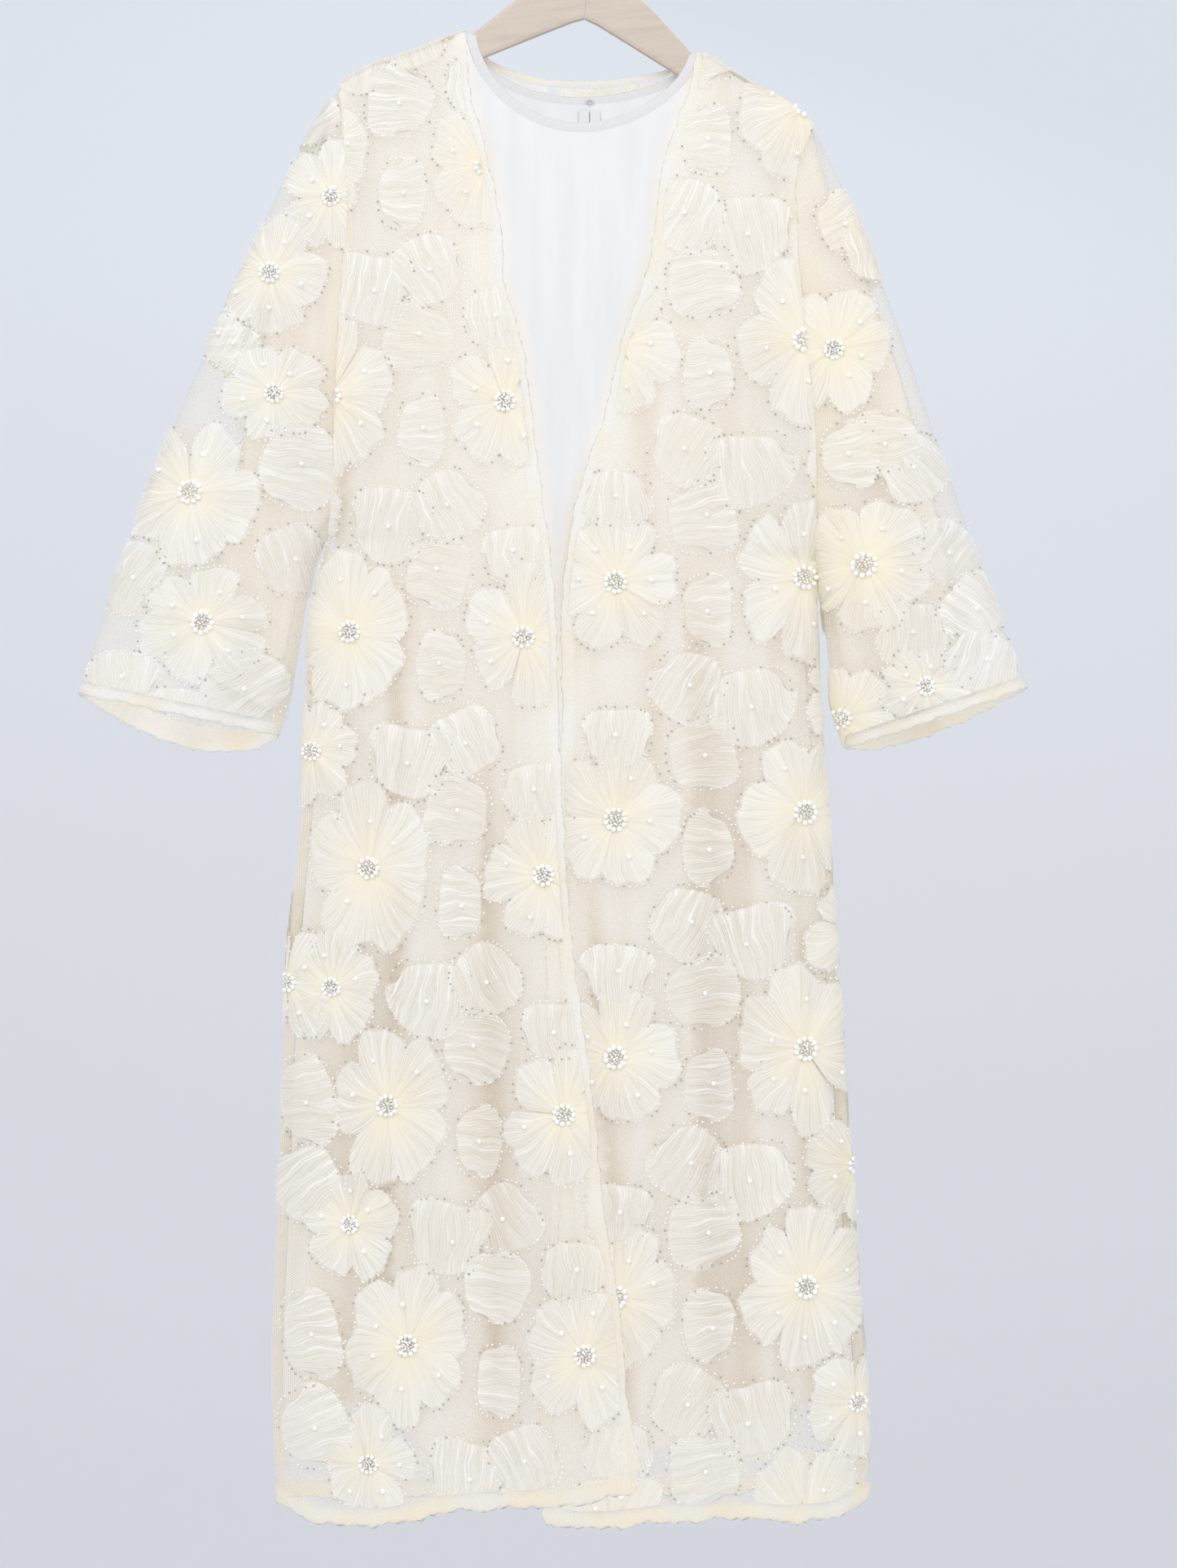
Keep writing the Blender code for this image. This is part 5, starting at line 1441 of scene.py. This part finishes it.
def shoulder_seam(side):
    """A soft seam over one shoulder, where the front meets the back."""
    line = spaced(shoulder_points(side), ROLL_STEP)
    points = np.stack([line[:, 0], np.full(len(line), -SHOULDER_ROLL[0] / 2), -line[:, 1]], axis=1)
    toward = np.zeros_like(points) + (0, 1, 0)
    outward = np.cross(np.gradient(points, axis=0), toward)
    outward *= (np.sign(outward[:, 2]) / np.linalg.norm(outward, axis=1))[:, None]
    return soft_roll(
        "shoulder_seam_" + WORD[side], points, outward, toward, *SHOULDER_ROLL, cream,
        seed=SEEDS["shoulder"] + side, faded=False,
    )


def back_painted_shade(x):
    """Painted shade: the petals behind the neck opening are whiter than the rest of the back."""
    return 0.04 + 0.18 * ease((abs(x + 20) - 75) / 20)


def build_robe_back():
    place = body_surface(ROBE, BACK)
    neck = neck_line(*ROBE_NECK)
    outline = whole_outline(ROBE, neck, HEM_AT[(BACK, 0)], HEM_BAND, ROBE_BOTTOMS - HEM_BAND)
    panel = cloth_panel("net_back", "robe_back", outline, place, BACK, NET_MESH, net)
    applied = Applied(place, BACK, outline, SEEDS["back"], back_painted_shade)
    add_repeats(applied, "back")
    added = applied.build("back")
    roll = edge_roll(
        "back_neck_edge", "robe_neck_binding", place, BACK, spaced(neck, 3.0)[1:-1], (0, 0, 1), 0.0,
        *NECK_ROLL, hem_cream, seed=SEEDS["neck"],
    )
    ends = (float(ROBE.edge(side, LOW_SIDE)) for side in (LEFT, RIGHT))
    hem = hem_roll("back", place, (BACK, 0), *ends, SEEDS["back_hem"])
    shoulders = [shoulder_seam(LEFT), shoulder_seam(RIGHT)]
    sheer(panel, added[0])
    airy(roll, hem, *shoulders)
    added += [roll, hem] + shoulders + armhole_seam(LEFT, place, BACK) + armhole_seam(RIGHT, place, BACK)


def sleeve_outline(sleeve, face):
    """The outline of a sleeve's front or back half in the front view."""
    share = np.linspace(0, 1, 60)
    across = np.linspace(0, 1, 40)
    outer = np.stack(sleeve.chart(share, 0 * share), axis=1)
    under = np.stack(sleeve.chart(share, 0 * share + 1), axis=1)
    seam = np.stack(sleeve.chart(0 * across, across), axis=1)
    around = across / 2 if face == FRONT else 1 - across / 2
    rim = sleeve.tube(np.ones_like(across), around, -CUFF_BAND)
    rim = np.stack([rim[:, 0], -rim[:, 2]], axis=1)
    return closed_outline(seam[::-1], outer, rim, under[::-1])


def inner_lines(sleeve, share, arounds, pasts, in_by):
    """Lines inside a sleeve's tube, moved towards the front by in_by."""
    lines = []
    for around, past in zip(arounds, pasts):
        points = sleeve.tube(share, around, past)
        points[:, 1] -= in_by
        lines.append(points)
    return lines


def sleeve_folds(side, sleeve):
    """Doubled net down the underarm seam and beside the armhole, toned tan as painted shade, and the inside
    of the cuff, toned beige as painted shade.
    """
    share = np.linspace(0.03, 0.99, 60)
    wide = UNDERARM_FOLD[side]
    bands = []
    for face in (FRONT, BACK):
        arounds = [np.full(60, 0.5 + face * away) for away in (0.004, wide / 2, wide)]
        bands.append(inner_lines(sleeve, share, arounds, [-CUFF_BAND * 0.8] * 3, face * 0.6))
        seam = spaced(side_line(ROBE, side, UNDERARM[side] - 20)[2:], 6.0)
        seam = seam[seam[:, 1] > UNDERARM[side] - ARMHOLE_FOLD_LONG]
        shifts = side * np.array(ARMHOLE_FOLD[side])
        bands.append(under_cloth(sleeve.surface(face), face, seam, shifts, 0.9))
    fold = strips("sleeve_folds_" + WORD[side], bands, shaded_seam_net)
    # The inside of the cuff, toned beige as painted shade inside the sleeve.
    around = np.linspace(0.52, 0.98, 70)
    pasts = (-CUFF_BAND - 10, -CUFF_BAND - 2, -2.0)
    cuff_inside_lines = inner_lines(sleeve, np.ones(70), [around] * 3, pasts, 1.6)
    return [fold, strips("cuff_inside_" + WORD[side], [cuff_inside_lines], shaded_cuff_inside, (0.0, 0.0, 1.0))]


def cuff_roll(side, sleeve):
    around = np.arange(CUFF_POINTS) / CUFF_POINTS
    rim = sleeve.tube(np.ones(CUFF_POINTS), around, -CUFF_BAND)
    down = unit(sleeve.tube(np.ones(CUFF_POINTS), around, 0.0) - rim)
    outward = unit(np.cross(np.roll(rim, -1, 0) - np.roll(rim, 1, 0), down))
    outward *= np.sign((outward * (rim - rim.mean(0))).sum(1).mean())
    cuff = soft_roll(
        "cuff_edge_" + WORD[side], rim - outward * 1.1, outward, down, *CUFF_ROLL, cream,
        closed=True, seed=SEEDS["cuff"] + side, uneven=1.4,
    )
    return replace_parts(cuff, "robe_cuff_" + WORD[side])


def sleeve_painted_shade(x):
    """Painted shade: the petals at the right armhole are warmer than the rest of the sleeves."""
    return 0.02 + 0.5 * ease((x - 180) / 20) * ease((300 - x) / 60)


def build_sleeve(side):
    word = WORD[side]
    sleeve = Sleeve(ROBE, side)
    name = "sleeve_" + word
    cloth = sleeve_cloth("net_" + name, "robe_" + name, sleeve, net, ROBE_SLEEVE_MESH, -CUFF_BAND)
    added = []
    for face, move in ((FRONT, (0, 0, 0)), (BACK, (-4 * side, 6, 20))):
        outline = sleeve_outline(sleeve, face)
        applied = Applied(sleeve.surface(face), face, outline, SEEDS["sleeve"] + side + 4 * face, sleeve_painted_shade)
        add_motifs(applied, SLEEVE_MOTIFS[side], move)
        added += applied.build(name + "_" + HALF[face])
    cuff = cuff_roll(side, sleeve)
    fold = sleeve_folds(side, sleeve)
    sheer(cloth, added[0], added[3])
    airy(cuff, *fold)


# The under-dress


def build_dress_panel(face):
    word = HALF[face]
    place = body_surface(DRESS, face)
    neck_drop, power = DRESS_NECK[face]
    neck = neck_line(neck_drop + NECK_BAND - NECK_OVERLAP, power)
    outline = whole_outline(DRESS, neck, DRESS_HEM_AT, 0.0, DRESS_BOTTOMS)
    panel = cloth_panel("satin_" + word, "dress_" + word, outline, place, face, SATIN_MESH, satin)
    neck = spaced(neck_line(neck_drop + NECK_BAND, power) + np.array([0, DRESS_BELOW_ROBE]), 2.0)[1:-1]
    band = edge_roll(
        "neckband_" + word + "_cloth", "neckband_" + word, place, face, neck, (0, 0, 1), 0.0, *NECKBAND_ROLL,
        ribbed, seed=SEEDS["neckband"], uneven=0.05,
    )
    airy(band)
    if face == FRONT:
        airy(panel)


def build_dress_sleeve(side):
    name = "sleeve_" + WORD[side]
    cloth = sleeve_cloth("satin_" + name, "dress_" + name, Sleeve(DRESS, side), satin, DRESS_SLEEVE_MESH, 0.0)


build_robe_front(LEFT)
build_robe_front(RIGHT)
build_robe_back()
build_sleeve(LEFT)
build_sleeve(RIGHT)
build_dress_panel(FRONT)
build_dress_panel(BACK)
build_dress_sleeve(LEFT)
build_dress_sleeve(RIGHT)

for finish, names in (
    (beech, ("hanger_arm_left", "hanger_arm_right")),
    (steel, ("hanger_hook", "zip_slider", "hook_and_eye")),
    (tape, ("zip_tape_left", "zip_tape_right")),
):
    for name in names:
        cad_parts[name].data.materials.clear()
        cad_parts[name].data.materials.append(finish)


# Stage, lights and camera, in metres

CAMERA_FAR = 3.0
VIEW_HIGH = 1.434
CAMERA_X, CAMERA_Z = -0.006, -0.81
SENSOR = 24.0
FLOOR = -3.3
WALL_Y, WALL_TOP = 4.6, 4.5
STAGE_REACH = 30.0
BEND = 0.6  # radius between floor and wall
BEND_STEPS = 12
STAGE_SHADES = (-2.6, 1.0)  # the heights between which its painted light changes, from darker low down to lighter high up
STAGE_PAINTED_LIGHT = [(0.05, (0.80, 0.815, 0.855)), (0.45, (0.83, 0.845, 0.885)), (0.85, (0.86, 0.90, 0.96))]
LIGHTS = [  # name, place, target, size and power
    ("key", (-1.4, -3.4, 1.6), (0, 0, -0.65), (2.6, 2.6), 39.5),
    ("fill", (2.2, -3.0, 0.2), (0, 0, -0.7), (2.4, 3.0), 16),
    ("back", (0.8, 3.4, 2.2), (0, 0, -0.8), (2.6, 2.0), 24),
]
ROOM_COLOUR, ROOM_LIGHT = (0.99, 0.995, 1.0, 1), 0.815


def build_stage():
    """A pale floor that curves up into a pale wall, with painted light: darker low down, lighter towards the
    top.
    """
    finish = Finish("pale_stage", (0.82, 0.835, 0.875), 0.9)
    # Painted light: the stage's tone grows lighter with height.
    share = finish.spread(finish.axis(finish.object_place(), "Z"), *STAGE_SHADES, 0.0, 1.0)
    finish.link(finish.ramp(share, STAGE_PAINTED_LIGHT), "Base Color")
    profile = [(-STAGE_REACH, FLOOR)]
    for k in range(BEND_STEPS + 1):
        a = math.pi / 2 * k / BEND_STEPS
        profile.append((WALL_Y - BEND + BEND * math.sin(a), FLOOR + BEND - BEND * math.cos(a)))
    profile.append((WALL_Y, WALL_TOP))
    points = [(x, y, z) for y, z in profile for x in (-STAGE_REACH, STAGE_REACH)]
    mesh = bpy.data.meshes.new("stage")
    mesh.from_pydata(points, [], [(2 * i, 2 * i + 1, 2 * i + 3, 2 * i + 2) for i in range(len(profile) - 1)])
    mesh.materials.append(finish.material)
    mesh.shade_smooth()
    in_scene("stage", mesh)


def area_light(name, place, target, size, power):
    light = bpy.data.lights.new(name, "AREA")
    light.shape = "RECTANGLE"
    light.size, light.size_y = size
    light.energy = power
    made = in_scene(name, light)
    made.location = place
    made.rotation_euler = (Vector(target) - Vector(place)).to_track_quat("-Z", "Y").to_euler()
    made.visible_camera = False


def build_world():
    world = bpy.data.worlds.new("soft_room")
    world.use_nodes = True
    background = world.node_tree.nodes["Background"]
    background.inputs["Color"].default_value = ROOM_COLOUR
    background.inputs["Strength"].default_value = ROOM_LIGHT
    bpy.context.scene.world = world


def build_camera():
    data = bpy.data.cameras.new("camera")
    data.sensor_fit = "VERTICAL"
    data.sensor_height = SENSOR
    data.lens = SENSOR * CAMERA_FAR / VIEW_HIGH
    camera = in_scene("camera", data)
    camera.location = (CAMERA_X, -CAMERA_FAR, CAMERA_Z)
    camera.rotation_euler = (math.pi / 2, 0, 0)
    bpy.context.scene.camera = camera
    bpy.context.scene.view_settings.view_transform = "Standard"


build_stage()
for light in LIGHTS:
    area_light(*light)
build_world()
build_camera()
